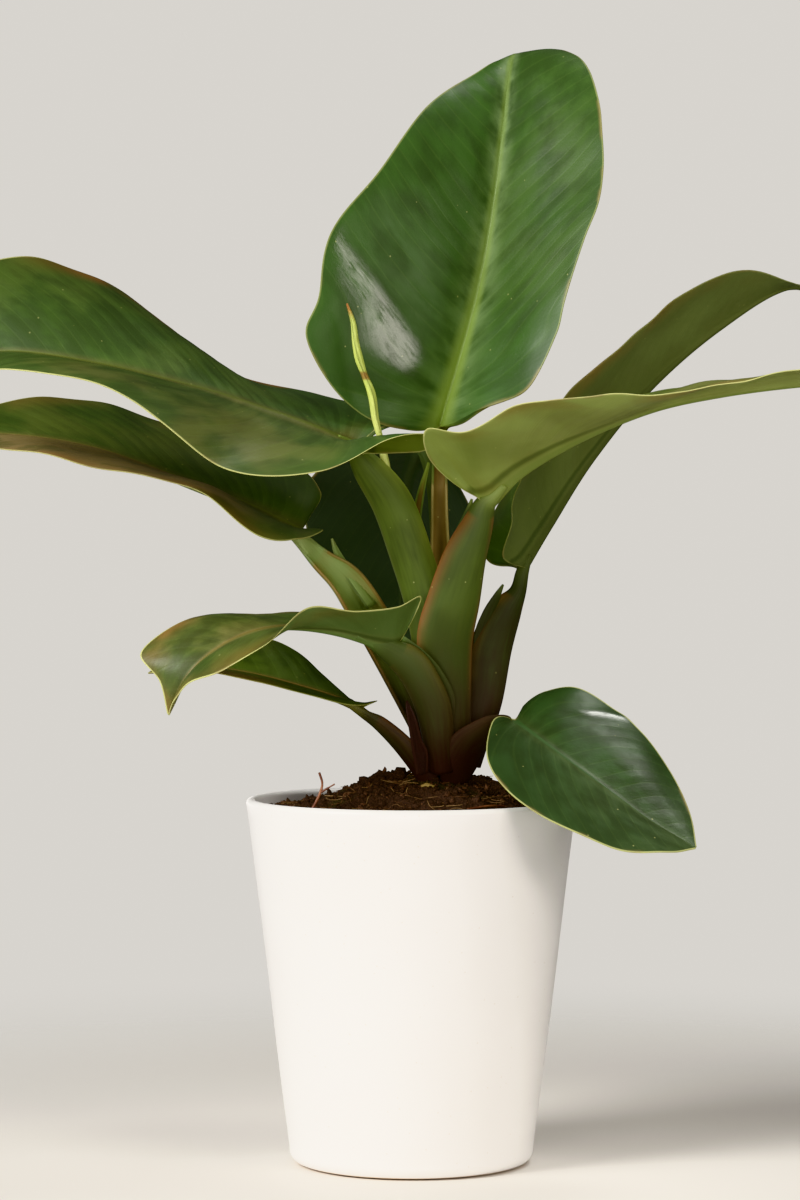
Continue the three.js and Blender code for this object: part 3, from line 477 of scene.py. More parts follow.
class Shader:
    """A material's node tree, with one method that adds any node."""

    def __init__(self, owner):
        owner.use_nodes = True
        self.owner = owner
        self.tree = owner.node_tree
        self.tree.nodes.clear()

    def node(self, kind, settings, sockets, output=0):
        """Adds a node: its settings first, then its sockets, by number or by name."""
        node = self.tree.nodes.new(kind)
        for key, value in settings.items():
            setattr(node, key, value)
        for key, value in sockets.items():
            if isinstance(value, Value):
                self.tree.links.new(value.socket, node.inputs[key])
            else:
                node.inputs[key].default_value = value
        return Value(self, node.outputs[output]) if node.outputs else None

    def math(self, operation, *values):
        return self.node("ShaderNodeMath", {"operation": operation}, dict(enumerate(values)))

    def blend(self, factor, first, second):
        """The first colour at factor 0 and the second at 1."""
        sockets = {0: factor, 6: rgba(first), 7: rgba(second)}
        return self.node("ShaderNodeMix", {"data_type": "RGBA"}, sockets, 2)

    def coats(self, colour, *coats):
        """A colour with coats over it, each the factor at which it covers and its own colour."""
        for factor, over in coats:
            colour = self.blend(factor, colour, over)
        return colour

    def rise(self, value, low, high):
        """0 at low and 1 at high, with a soft start and end. low may be above high."""
        settings = {"interpolation_type": "SMOOTHSTEP"}
        return self.node("ShaderNodeMapRange", settings, {0: value, 1: low, 2: high})

    def noise(self, vector, scale, detail=2.0):
        return self.node("ShaderNodeTexNoise", {}, {"Vector": vector, "Scale": scale, "Detail": detail})

    def cells(self, vector, scale):
        """The distance to the nearest of many scattered points."""
        return self.node("ShaderNodeTexVoronoi", {}, {"Vector": vector, "Scale": scale})

    def parts(self, vector):
        """The three values of a vector."""
        first = self.node("ShaderNodeSeparateXYZ", {}, {0: vector})
        return [Value(self, socket) for socket in first.socket.node.outputs]

    def attribute(self, name):
        return self.parts(self.node("ShaderNodeAttribute", {"attribute_name": name}, {}, 1))

    def vector(self, *values):
        return self.node("ShaderNodeCombineXYZ", {}, dict(enumerate(values)))

    def relief(self, height, depth):
        """A bump of that height, whose full range is depth in metres."""
        return self.node("ShaderNodeBump", {}, {"Distance": depth, "Height": height})

    def surface(self, colour, roughness, normal, **others):
        """Ends the tree in a Principled shader."""
        sockets = {"Base Color": colour, "Roughness": roughness, "Normal": normal}
        sockets.update({key.replace("_", " "): value for key, value in others.items()})
        shader = self.node("ShaderNodeBsdfPrincipled", {}, sockets)
        self.node("ShaderNodeOutputMaterial", {}, {0: shader})
        return self.owner


def rgba(colour):
    """A colour with alpha 1, from #rrggbb or a colour setting. A Value stays as it is."""
    if isinstance(colour, Value):
        return colour
    if isinstance(colour, str):
        tone = np.array([int(colour[k:k + 2], 16) for k in (1, 3, 5)]) / 255
        colour = map(float, np.where(tone <= 0.04045, tone / 12.92, ((tone + 0.055) / 1.055) ** 2.4))
    return (*colour, 1.0)


def new_finish(name):
    """A new material's shader, and the place on the object in metres."""
    s = Shader(bpy.data.materials.new(name))
    return s, s.node("ShaderNodeTexCoord", {}, {}, 3)


def outer_radius(z):
    """The pot's outer radius at height z, on a straight flare from foot to rim."""
    return FOOT_RADIUS + (RIM_RADIUS - FOOT_RADIUS) * z / POT_HEIGHT


def inner_radius(z):
    return outer_radius(z) - POT_WALL


def arc(x, z, radius, start, end, steps):
    """Points (x + radius cos a, z + radius sin a) as a goes from start to end degrees."""
    a = np.radians(np.linspace(start, end, steps))
    return stacked(x + radius * np.cos(a), z + radius * np.sin(a))


def turned(profile, sides):
    """Rings (r sin a, -r cos a, z) for the [r, z] rows of a profile."""
    a = np.arange(sides) * 2 * math.pi / sides
    r, z = np.asarray(profile, float).T[..., None]
    return stacked(r * np.sin(a), -r * np.cos(a), z)


def soil_height(x, y):
    """The soil's surface as in the CAD model: its height at the wall plus Gaussian clods and the ripple
    0.7 sin(2 pi x / 20) sin(2 pi y / 23), times 1 - (distance from the axis / inner radius) ^ 6."""
    far = np.minimum(np.hypot(x, y) / inner_radius(SOIL_EDGE), 1)
    clods = sum(h * np.exp(-((x - cx) ** 2 + (y - cy) ** 2) / (2 * s * s)) for cx, cy, h, s in CLODS)
    ripple = 0.7 * np.sin(2 * math.pi * x / 20) * np.sin(2 * math.pi * y / 23)
    return SOIL_EDGE + (clods + ripple) * (1 - far**6)


def rough_soil(x, y):
    """The soil's height with its crumbly relief: ripples of four lengths, less near the wall."""
    relief = sum(h * ripples(stacked(x, y, 0), length, 20 + k) for k, (length, h) in enumerate(RELIEF))
    far = np.hypot(x, y) / inner_radius(SOIL_EDGE)
    return soil_height(x, y) + relief * (1 - 0.6 * smooth(0.85, 1, far))


def rods(paths, radii, sides):
    """Rings of the given radii square to each path: paths is (rods, points, 3), radii (rods, points)."""
    ahead = unit(np.gradient(paths, axis=1))
    side = unit(np.cross(ahead, [0.31, 0.22, 0.92]))
    over = np.cross(side, ahead)
    a = (np.arange(sides) * 2 * math.pi / sides)[:, None]
    ring = side[:, :, None] * np.cos(a) + over[:, :, None] * np.sin(a)
    return paths[:, :, None] + ring * radii[:, :, None, None]


def lumps(places, sizes, rng):
    """Rough lumps: three rings of six points on a unit ball, each point moved in or out by up to a
    third, the ball squashed along three axes and turned at random."""
    count = len(places)
    rise = np.radians([-50, 0, 50])[:, None]
    a = np.arange(6) * math.pi / 3
    ball = stacked(np.cos(rise) * np.cos(a), np.cos(rise) * np.sin(a), np.sin(rise))
    loops = ball * rng.uniform(0.67, 1.33, (count, 3, 6, 1)) * rng.uniform(0.55, 1.3, (count, 1, 1, 3))
    turns = np.linalg.qr(rng.normal(size=(count, 3, 3)))[0]
    turns *= np.linalg.det(turns)[:, None, None]
    return places[:, None, None] + np.einsum("nij,nabj->nabi", turns, loops * sizes[:, None, None, None])


def stalk(body, stations, facing, edged=True):
    """Carries a stalk's section along its stations. Across the section, x runs along the side and y
    towards the facing side: the back is half sin a, lift sin^2 a - back cos a, and the channel is
    (half - wing) sin a, lift sin^2 a - floor cos a, with a from -90 to 90 degrees. Half circles as
    wide as the wing join the two. place holds the distance along, the turn from wing to wing, -1 to
    1, and the distance from the nearest wing's edge, 30 more where no channel opens or the piece isn't
    edged. kind holds how far it has changed to the blade's colour, then 0 outside and 1 in the channel,
    then 1, which marks a stalk."""
    t = np.linspace(0, 1, (len(stations) - 1) * 8 + 1)
    row, side, up = framed(stations, t, facing)
    centre, (left, right, back, channel, lift) = row[:, :3], row[:, 3:, None].transpose(1, 0, 2)
    wing = np.minimum(STALK_WALL, WING_SHARE * np.minimum(left, right))
    floor = np.minimum(channel, np.maximum(back - STALK_FLOOR, -back))
    a = np.radians(np.linspace(-90, 90, 25))
    b = np.radians(np.linspace(90, -90, 15))
    tip = np.radians([35, 90, 145])
    opened = smooth(-0.6, 1, channel)
    x_back = np.where(a < 0, left, right) * np.sin(a)
    y_back = lift * np.sin(a) ** 2 - back * np.cos(a)
    x_channel = (np.where(b < 0, left, right) - wing) * np.sin(b)
    y_channel = lift * np.sin(b) ** 2 - floor * np.cos(b)
    x_right = right - wing / 2 + wing / 2 * np.cos(tip)
    x_left = -left + wing / 2 + wing / 2 * np.cos(tip)
    y_tip = lift + wing / 2 * opened * np.sin(tip)
    x = np.concatenate([x_back, x_right, x_channel, x_left], 1)
    y = np.concatenate([y_back, y_tip, y_channel, y_tip], 1)
    loops = centre[:, None] + side * x[..., None] + up * y[..., None]
    around = np.concatenate([a, 0 * tip + math.pi / 2, b, 0 * tip - math.pi / 2]) / (math.pi / 2)
    inside = np.concatenate([0 * a, 0 * tip + 0.5, 0 * b + 1, 0 * tip + 0.5])
    size = (left + right) / 2 + np.where(inside > 0.6, 0, back)
    rim = (1 - np.abs(around)) * size + NO_EDGE * (1 - opened * edged)
    to_blade = smooth(0.72, 0.95, t)[:, None]
    body.skin(loops, stacked(reach(centre)[:, None], around, rim), stacked(to_blade, inside, 1))


def thin(rows):
    """A thin scale's stations, 0.7 deep and less at the tip, from rows of [x, y, z, half width]."""
    depths = [[0.7, -0.5]] * (len(rows) - 2) + [[0.6, -0.5], [0.5, -0.4]]
    return [[*row, row[3], *depth, 0] for row, depth in zip(rows, depths)]


def blade(body, name, seed, settings):
    """Lays a closed skin round the blade's middle surface. At u along the leaf a line runs from the
    midrib's point M, at the share of its length that the edge rows give, to the edge's point E on each
    side: M + T f (0.4 v + 0.6 v^1.35) + A v + up 0.2 |A| v (1 - v), where f is the part of E - M along
    the midrib's direction T, A the rest, and up is square to A and T. Side veins are counted by the
    width that the lines sweep, less a share of the distance from the midrib, so that they leave it at
    about 50 degrees. A fold is a Gaussian bump across the count, which rises along the half. Waves,
    pleats along the veins and the swelling between them, a cosine of the count, are added along up.

    The skin stands off by half the thickness on both sides, and half circles close it at both edges.
    The midrib, rib deep, adds a bell exp(-(distance / b)^2), where b is 1.25 rib (1 - 0.85 share^0.7):
    rib (1 - 0.85 share) of it underneath and 0.55 rib (1 - 0.95 share^0.5) on top. place holds the
    distance along the edge, the distance from the midrib in painted half widths, which are
    1.5 rib (1 - 0.93 share^0.33), left of it below 0, and the distance from the edge. kind holds the
    vein count, then minus the fold's bump on top, 1 underneath and 0.5 round the edge, and 0."""
    leaf = LEAVES[name]
    midrib, edges = np.array(leaf["midrib"], float), np.array(leaf["edges"], float)
    shares = np.vstack([[0], edges[:, :1], [1]])
    rails = [np.vstack([midrib[0], edges[:, k:k + 3], midrib[-1]]) for k in (1, 4)]
    fine = np.linspace(0, 1, FINE_STEPS)
    rib_line = spline(midrib, fine)
    rib_reach, rib_line = reach(rib_line), rib_line[::40]
    measure = sum(reach(spline(rail, fine)) for rail in rails)
    u = np.interp(np.linspace(0, measure[-1], settings.rows + 2)[1:-1], measure, fine)
    u = np.clip(u, 0.002, 0.998)

    def middle(u):
        share = np.clip(spline(shares, u)[:, 0], 0, 1)
        t = np.interp(share * rib_reach[-1], rib_reach, fine)
        return share[:, None], spline(midrib, t), heading(midrib, t)

    share, foot, ahead = middle(u)
    v = np.linspace(0, 1, settings.columns + 1)[:, None] ** 1.3
    fold_half, fold_place, fold_spread, fold_height, start, end = FOLDS.get(name, NO_FOLD)
    halves, ups, rims, turns, crests, along = [], [], [], [], [], []
    for sign, rail in zip((-1, 1), rails):
        chord = spline(rail, u) - foot
        forward = dot(chord, ahead)
        across = chord - forward * ahead
        width = np.linalg.norm(across, axis=-1, keepdims=True)
        up = unit(sign * np.cross(across, ahead))
        wide = np.flatnonzero(width[:, 0] > 0.8)
        up = up[np.clip(np.arange(len(u)), wide[0], wide[-1])]
        points = (foot[:, None] + ahead[:, None] * forward[:, None] * (0.4 * v + 0.6 * v**1.35)
                  + across[:, None] * v + up[:, None] * (BLADE_SWELL * width[:, None] * v * (1 - v)))
        edge = spline(rail, fine)
        swept = np.cross(unit(edge - middle(fine)[1])[:-1], np.diff(edge, axis=0))
        swept = np.r_[0, np.cumsum(np.linalg.norm(swept, axis=-1))]
        back = distance(points, rib_line) * (VEIN_LEAN + VEIN_BEND * v[:, 0]) * smooth(0, 0.2, share)
        turn = (np.interp(u, fine, swept)[:, None] - back) / settings.vein_spacing
        off = (turn - fold_place) / (fold_spread * (0.4 + 0.6 * v[:, 0]))
        crest = np.exp(-(off**2)) * smooth(start, end, v[:, 0]) * (fold_half == sign)
        halves.append(points + up[:, None] * (fold_height * crest)[..., None])
        crests.append(crest)
        ups.append(up)
        rims.append(distance(points, spline(rail, fine[::8])))
        turns.append(turn)
        along.append(np.interp(u, fine, reach(edge))[:, None] + 0 * v[:, 0])

    def joined(sides):
        """The left half from its edge in to the midrib and the right half out to its edge."""
        return np.concatenate([sides[0][:, ::-1], sides[1][:, 1:]], 1)

    points, rim, turn, crest, along = (joined(sides) for sides in (halves, rims, turns, crests, along))
    centre = unit(ups[0] + ups[1])
    lean = smooth(0, 0.3, v)[None]
    up = joined([unit(centre[:, None] * (1 - lean) + side[:, None] * lean) for side in ups])
    rib = distance(points, rib_line)
    painted = RIB_PAINT * leaf["rib"] * (1 - 0.93 * share**0.33)
    side = np.sign(np.arange(points.shape[1]) - settings.columns)
    turn = turn + 0.12 * ripples(points, 60, seed)
    edge_wave = settings.edge_wave * smooth(16, 0, rim) * smooth(0, 10, rib)
    lift = settings.wave * smooth(2, 18, rib) * ripples(points, 42, seed + 1)
    lift = lift + edge_wave * ripples(points, 26, seed + 2)
    pleats = ripples(stacked(turn, side, 0), 3.6, seed + 3)
    lift = lift + settings.pleat * pleats * smooth(1, 16, rib) * smooth(0, 12, rim)
    swell = np.cos(2 * math.pi * turn) * smooth(1.5, 7, rib) * smooth(0.3, 7, rim)
    lift = (lift - settings.swelling * swell) * (1 - 0.85 * crest)
    points = points + up * lift[..., None]
    bell = np.exp(-((rib / (RIB_BELL * leaf["rib"] * (1 - RIB_TAPER * share**0.7))) ** 2))
    half = EDGE_HALF + (settings.thickness / 2 - EDGE_HALF) * smooth(0, 4, rim)
    raised = RIB_RISE * leaf["rib"] * (1 - 0.95 * share**0.5) * bell
    keel = leaf["rib"] * (1 - RIB_TAPER * share) * bell
    top, bottom = points + up * (half + raised)[..., None], points - up * (half + keel)[..., None]

    def edge(k, inward, order):
        """Three points round the edge of column k."""
        out = points[:, k] - points[:, inward]
        out = unit(out - dot(out, up[:, k]) * up[:, k])
        a = np.radians(order)[:, None]
        size = half[:, k, None, None]
        return points[:, None, k] + (up[:, None, k] * np.cos(a) + out[:, None] * np.sin(a)) * size

    def round_skin(upper, lower, between):
        """Values for the points round each loop."""
        rim_right, rim_left = np.repeat(between[:, -1:], 3, 1), np.repeat(between[:, :1], 3, 1)
        return np.concatenate([upper, rim_right, lower[:, ::-1], rim_left], 1)

    right, left = edge(-1, -2, [45, 90, 135]), edge(0, 1, [135, 90, 45])
    loops = np.concatenate([top, right, bottom[:, ::-1], left], 1)
    ones = np.ones_like(rib)
    place = [round_skin(values, values, values) for values in (along, side * rib / painted, rim)]
    under = round_skin(-crest, ones, 0.5 * ones)
    body.skin(loops, stacked(*place), stacked(round_skin(turn, turn, turn), under, 0))


def leaf_finish(name, settings):
    """The leaf's cuticle. On top it is mottled green with soft streaks along faint side veins, a painted
    greyish sheen beside the midrib, browned parts and the midrib's coloured band. Underneath it is paler,
    with a painted shade line on both sides of the keel. Rust, specks and a pale line mark the margins.
    The stalk is mottled, has its own colours in the channel and on the wings, and darkens to red-brown
    towards its foot. The crests of folds are smooth and waxy, and the right half may be duller."""
    tones, marks = LOOKS[name]
    look = {**MARKS, **marks, **dict(zip(TONES, tones.split()))}
    s, here = new_finish(name + "_cuticle")
    along, across, rim = s.attribute("place")
    turn, under, stem = s.attribute("kind")
    height = s.parts(here)[2]
    broad = s.noise(here, 28, 3)
    cloudy = s.noise(here, 130, 3)
    fine = s.noise(here, 900, 2)
    from_rib = s.math("ABSOLUTE", across)
    left = s.rise(across, 0.7, -0.7)
    right = 1 - left
    streaks = s.noise(s.vector(turn * 0.4, across * 0.045, left * 5), 2.2, 3)
    threads = s.noise(s.vector(turn * 3.2, across * 0.12, left * 3), 2.5, 3)
    side_vein = s.rise(s.math("PINGPONG", turn, 0.5), 0.1, 0.0) * s.rise(from_rib, 0.9, 3.0)
    rib = s.rise(from_rib, look["spread"], 0.45) * (0.95 - s.rise(along, 40, 200) * 0.5)
    # Painted sheen: a greyish haze beside the midrib, in streaks, that stands in for the leaf's sheen.
    painted_sheen_halo = s.rise(from_rib, 9, 0.8) * s.rise(streaks, 0.25, 0.7)
    on_left, on_right, on_rib = look["brown"]
    patches = s.rise(broad + 0.35 * streaks, 0.55, 0.82)
    browned = (left * on_left + right * on_right) * (patches * 0.8 + 0.2)
    browned = browned * (s.rise(along, 60, 125) * 0.93 + 0.07) + on_rib * s.rise(from_rib, 4, 0.4)
    rust_left, rust_right = look["rust"]
    rusty = (left * rust_left + right * rust_right) * s.rise(rim, 13, 0.5) * s.rise(broad, 0.35, 0.6)
    rusty = rusty * s.rise(along, 45, 90) * s.rise(along, 240, 170)
    hair = s.rise(rim, 1.6, 0.2) * s.rise(s.noise(here, 60), 0.52, 0.66)
    specks = s.rise(s.cells(here, 130), 0.06, 0.03)
    keel = s.blend(0.5, look["lower"], look["shank"])
    # Painted shade: a dark line on both sides of the keel underneath, where its crease is shaded.
    painted_keel_shade = s.rise(s.math("ABSOLUTE", from_rib - 1.9), 0.9, 0.1) * s.rise(along, 240, 120)

    top = s.coats(
        look["upper"],
        (s.rise(broad * 0.5 + streaks * 0.5, 0.38, 0.62), look["fresh"]),
        (s.rise(rim, 18, 1) * 0.35, look["fresh"]),
        (s.rise(streaks, 0.55, 0.3) * 0.14 + threads * 0.14, settings.shade),
        # painted sheen beside the midrib
        (painted_sheen_halo * look["painted_sheen"], settings.painted_sheen),
        (browned, settings.brown),
        (side_vein * look["vein"], settings.vein),
        (rib, look["rib"]))
    below = s.coats(
        look["lower"],
        (s.rise(broad, 0.3, 0.7) * 0.3, settings.shade),
        (browned * 0.6, settings.brown),
        (side_vein * look["vein"] * 0.5, settings.vein),
        # painted shade beside the keel
        (painted_keel_shade * 0.6, settings.shade),
        (s.rise(from_rib, 1.6, 0.8), keel))
    leaf = s.coats(
        top,
        (s.rise(under, 0.35, 0.65), below),
        (rusty, settings.rust),
        (specks * 0.35, settings.edge),
        (s.rise(rim, 0.6, 0.2) * look["edge"], settings.edge),
        (hair * 0.5, settings.brown))

    grain = s.noise(s.vector(along * 0.012, across * 1.6, 0.0), 5, 4)
    low = height + (broad - 0.5) * 0.05 + (grain - 0.5) * 0.03
    shank = s.coats(
        look["shank"],
        (s.rise(grain * 0.35 + broad * 0.65, 0.38, 0.64) * 0.75, settings.stalk_shade),
        (s.rise(under, 0.6, 0.95) * 0.7, look["channel"]),
        (s.rise(rim, 9, 0.5) * s.rise(broad, 0.3, 0.6) * 0.5, look["wing"]),
        (s.rise(rim, 1.3, 0.3) * 0.6, look["wing"]),
        (specks * 0.5, settings.edge),
        (s.rise(low, *SHEATH_FADE) * look["sheath"], settings.sheath),
        (s.rise(low, *FOOT_FADE), settings.foot),
        (turn, keel))

    lines = (threads * 0.25 - side_vein * 0.12) * (1 - stem) + grain * stem * 0.25
    relief = s.relief(lines + fine * 0.2 + cloudy * 0.35, 0.00018)
    waxy = s.rise(streaks, 0.45, 0.62) * (1 - stem)
    crest = s.rise(under, -0.3, -0.95)
    worn = s.rise(threads + (cloudy - 0.5) * 0.6, 0.18, 0.66)
    gloss = settings.roughness + stem * 0.08 + s.rise(under, 0, 1) * 0.12 + (cloudy - 0.5) * 0.1
    gloss = gloss - waxy * 0.05 - crest * 0.12 + right * look["dull"]
    return s.surface(s.blend(stem, leaf, shank), gloss, relief, Specular_IOR_Level=settings.shine,
                     Coat_Weight=crest * worn, Coat_Roughness=0.2)


def rolled_finish():
    """The new leaf's yellow-green skin: streaks along it, a shaded seam, a paler lower half, browned
    where it leaves its sheath, a red-brown joint and tip, and spots."""
    s, here = new_finish("rolled_leaf")
    height = s.parts(here)[2]
    along, around, _ = s.attribute("place")
    streaks = s.noise(s.vector(along * 0.03, around * 2, 0.0), 5, 4)
    colour = s.coats(
        "#c3cf6c",
        (s.rise(streaks, 0.3, 0.7), "#a6b45a"),
        (s.rise(around, 5.6, 6.2) * 0.6, "#6e7f38"),
        (s.rise(height, *PALE_FADE) * 0.7, "#c3c97a"),
        (s.rise(height + (streaks - 0.5) * 0.01, *BROWNED_FADE), "#8a6a3c"),
        (s.rise(s.math("ABSOLUTE", height - JOINT_HEIGHT), 0.0024, 0.0008) * 0.75, "#7a3d22"),
        (s.rise(height, *TIP_FADE) * 0.8, "#9c4a2c"),
        (s.rise(s.cells(here, 150), 0.12, 0.06) * 0.6, "#7d5a2a"))
    relief = s.relief(streaks + s.noise(here, 900) * 0.3, 0.0003)
    return s.surface(colour, 0.38 + streaks * 0.1, relief)


def glaze_finish(settings):
    """Satin white glaze, slightly uneven, with faint specks, and bare clay under the foot's edge."""
    s, here = new_finish("satin_glaze")
    broad = s.noise(here, 16, 3)
    bare = s.rise(s.parts(here)[2] + (broad - 0.5) * 0.0008, 0.0009, 0.0004)
    colour = s.coats(
        settings.glaze,
        (s.rise(broad, 0.3, 0.7) * 0.5, settings.glaze_shade),
        (s.rise(s.cells(here, 210), 0.09, 0.04) * 0.35, settings.speck),
        (bare, settings.clay))
    gloss = settings.roughness + (broad - 0.5) * 0.12 + bare * 0.4
    relief = s.relief(broad + s.noise(here, 500, 2) * 0.06 + bare * s.noise(here, 1500), 0.0004)
    return s.surface(colour, gloss, relief, Coat_Weight=0.25, Coat_Roughness=0.2)


def soil_finish(settings, name="potting_soil"):
    """Peaty soil: near black, with red-brown and pinkish crumbs by their own tone, and green hints."""
    s, here = new_finish(name)
    tone, moss, _ = s.attribute("place")
    broad = s.noise(here, 90, 4)
    grains = s.noise(here, 1300, 3)
    colour = s.coats(
        settings.dark,
        (s.rise(grains, 0.4, 0.7), settings.brown),
        (s.rise(s.cells(here, 700), 0.12, 0.04) * s.rise(broad, 0.45, 0.6) * 0.7, settings.crumb),
        (s.rise(tone, 0.72, 1.05) * s.rise(grains, 0.3, 0.6), settings.crumb),
        (moss * 0.4, settings.moss))
    relief = s.relief(grains + broad * 0.6, 0.0012)
    return s.surface(colour, 0.8 + (grains - 0.5) * 0.2, relief, Specular_IOR_Level=0.25)


def husk_finish(name, pale, dark):
    """Dry fibre, husk or bark in streaks along it, paler by its own tone."""
    s, here = new_finish(name)
    along, around, tone = s.attribute("place")
    streaks = s.noise(s.vector(along * 0.05, around * 3, tone * 9), 4, 4)
    fine = s.noise(here, 1200)
    colour = s.blend(s.rise(streaks + (tone - 0.5) * 0.7, 0.25, 0.75), dark, pale)
    return s.surface(colour, 0.62 + (fine - 0.5) * 0.2, s.relief(streaks + fine * 0.4, 0.0004))


def number(name, description, default, low, high, **more):
    """A setting from low to high, whole where its default is."""
    kind = IntProperty if isinstance(default, int) else FloatProperty
    return kind(name=name, description=description, default=default, min=low, max=high, **more)


def tint(name, description, text):
    return FloatVectorProperty(name=name, description=description, subtype="COLOR", min=0, max=1,
                               default=rgba(text)[:3])


class PotSettings(bpy.types.PropertyGroup):
    """The pot's finish."""

    sides: number("Sides", "Faces round the pot", 160, 32, 400)
    unevenness: number("Unevenness", "How far the wall strays, in millimetres", 0.22, 0, 1)
    roughness: number("Roughness", "Roughness of the glaze", 0.34, 0, 1, subtype="FACTOR")
    glaze: tint("Glaze", "The glaze where it is thick", "#efeeed")
    glaze_shade: tint("Thin glaze", "The glaze where it is thinner", "#e7e5e3")
    speck: tint("Speck", "Faint specks in the glaze", "#c9beae")
    clay: tint("Clay", "Bare clay under the foot", "#c3a98b")


class LeafSettings(bpy.types.PropertyGroup):
    """Sizes and colours that all leaves share."""

    rows: number("Rows", "Lines of points along a blade", 216, 40, 400)
    columns: number("Columns", "Points from midrib to edge", 25, 8, 60)
    thickness: number("Thickness", "Of the blade, in millimetres", 0.7, 0.5, 1)
    vein_spacing: number("Vein spacing", "Between side veins, in millimetres", 8.2, 4, 20)
    swelling: number("Swelling", "Of the blade between side veins, in millimetres", 0.06, 0, 1)
    pleat: number("Pleat", "Height of the pleats along the veins, in millimetres", 0.14, 0, 2)
    wave: number("Wave", "Height of the blade's long waves, in millimetres", 0.6, 0, 2)
    edge_wave: number("Edge wave", "Height of the edge's waves, in millimetres", 0.4, 0, 2)
    roughness: number("Roughness", "Roughness of the cuticle", 0.46, 0, 1, subtype="FACTOR")
    shine: number("Shine", "Specular level of the cuticle", 0.28, 0, 1, subtype="FACTOR")
    vein: tint("Side vein", "Side veins on top", "#86a35a")
    # A greyish colour beside the midrib: painted sheen.
    painted_sheen: tint("Bloom", "Greyish bloom beside the midrib", "#7f9468")
    # Used for darker flecks on top and underneath, and for the painted shade beside the keel.
    shade: tint("Shade", "Darker flecks of the top", "#2c3d22")
    brown: tint("Browned", "Browned parts of a blade", "#8a7a54")
    rust: tint("Rust", "Red-brown margins", "#95663a")
    edge: tint("Edge", "The pale line along the edge", "#b9bb7c")
    stalk_shade: tint("Stalk shade", "The stalk's darker mottling", "#424c2f")
    sheath: tint("Sheath", "The olive brown of the sheaths", "#3a3127")
    foot: tint("Foot", "The stalk's foot", "#2f1f1b")


class SoilSettings(bpy.types.PropertyGroup):
    """The soil, its crumbs and its litter."""

    crumbs: number("Crumbs", "Loose crumbs", 1900, 0, 3000)
    fibres: number("Fibres", "Loose fibres", 150, 0, 400)
    dark: tint("Dark", "Wet peat", "#33261f")
    brown: tint("Brown", "Drier peat", "#513d32")
    crumb: tint("Crumb", "Pale crumbs", "#7c5c4a")
    moss: tint("Moss", "Green hints", "#3d4024")
    fibre: tint("Fibre", "Pale fibre", "#a08463")
    fibre_shade: tint("Fibre shade", "Dark fibre", "#5c3f2c")
    bark: tint("Bark", "Pale bark", "#9a6a4e")
    bark_shade: tint("Bark shade", "Dark bark", "#5a3222")


class StageSettings(bpy.types.PropertyGroup):
    """Camera, lights and floor."""

    lens: number("Lens", "Focal length in millimetres", 114.0, 20, 300)
    key: number("Key light", "Power of the softbox at the upper left, in watts", 46.0, 0, 500)
    front: number("Front light", "Power of the low light in front, in watts", 21.0, 0, 500)
    strip: number("Strip light", "Power of the narrow light at the right, in watts", 8.0, 0, 500)
    top: number("Top light", "Power of the narrow beam from above, in watts", 0.17, 0, 500)
    back: number("Back light", "Power of the low light behind, in watts", 5.0, 0, 500)
    world: number("World", "Strength of the room's light", 0.17, 0, 5)
    floor: tint("Floor", "The floor", "#ede9e3")
    backdrop: tint("Backdrop", "What the camera sees behind the plant", "#dddad4")


class PHILODENDRON_OT_pot(bpy.types.Operator):
    """Turns the pot from its profile, with a rounded heel and lip, and lets its wall stray a little"""

    bl_idname = "philodendron.pot"
    bl_label = "Pot"

    def execute(self, context):
        settings = context.scene.philodendron_pot
        lip, corner = POT_WALL / 2, POT_FLOOR + HEEL_ROUND
        heel = arc(outer_radius(HEEL_ROUND) - HEEL_ROUND, HEEL_ROUND, HEEL_ROUND, -90, 7, 12)
        mouth = arc(RIM_RADIUS - lip, POT_HEIGHT - lip, lip, 7, 173, 17)
        bowl = arc(inner_radius(corner) - HEEL_ROUND, corner, HEEL_ROUND, -7, -90, 9)
        flare = np.linspace(0, 1, 26)[1:-1, None]
        base = np.linspace(0, 1, 8)[1:-1, None] * heel[0]
        bottom = np.linspace(1, 0, 8)[1:-1, None] * (bowl[-1] * [1, 0]) + [0, POT_FLOOR]
        profile = np.concatenate([
            base, heel, heel[-1] + (mouth[0] - heel[-1]) * flare, mouth,
            mouth[-1] + (bowl[0] - mouth[-1]) * flare, bowl, bottom])
        loops = turned(profile, settings.sides)
        stray = settings.unevenness * ripples(loops, 90, 11) * smooth(0, 30, loops[..., 2])
        loops[..., :2] *= 1 + (stray / RIM_RADIUS)[..., None]
        Body().skin(loops).piece("white_pot", glaze_finish(settings), "pot_glaze", "pot")
        return {"FINISHED"}


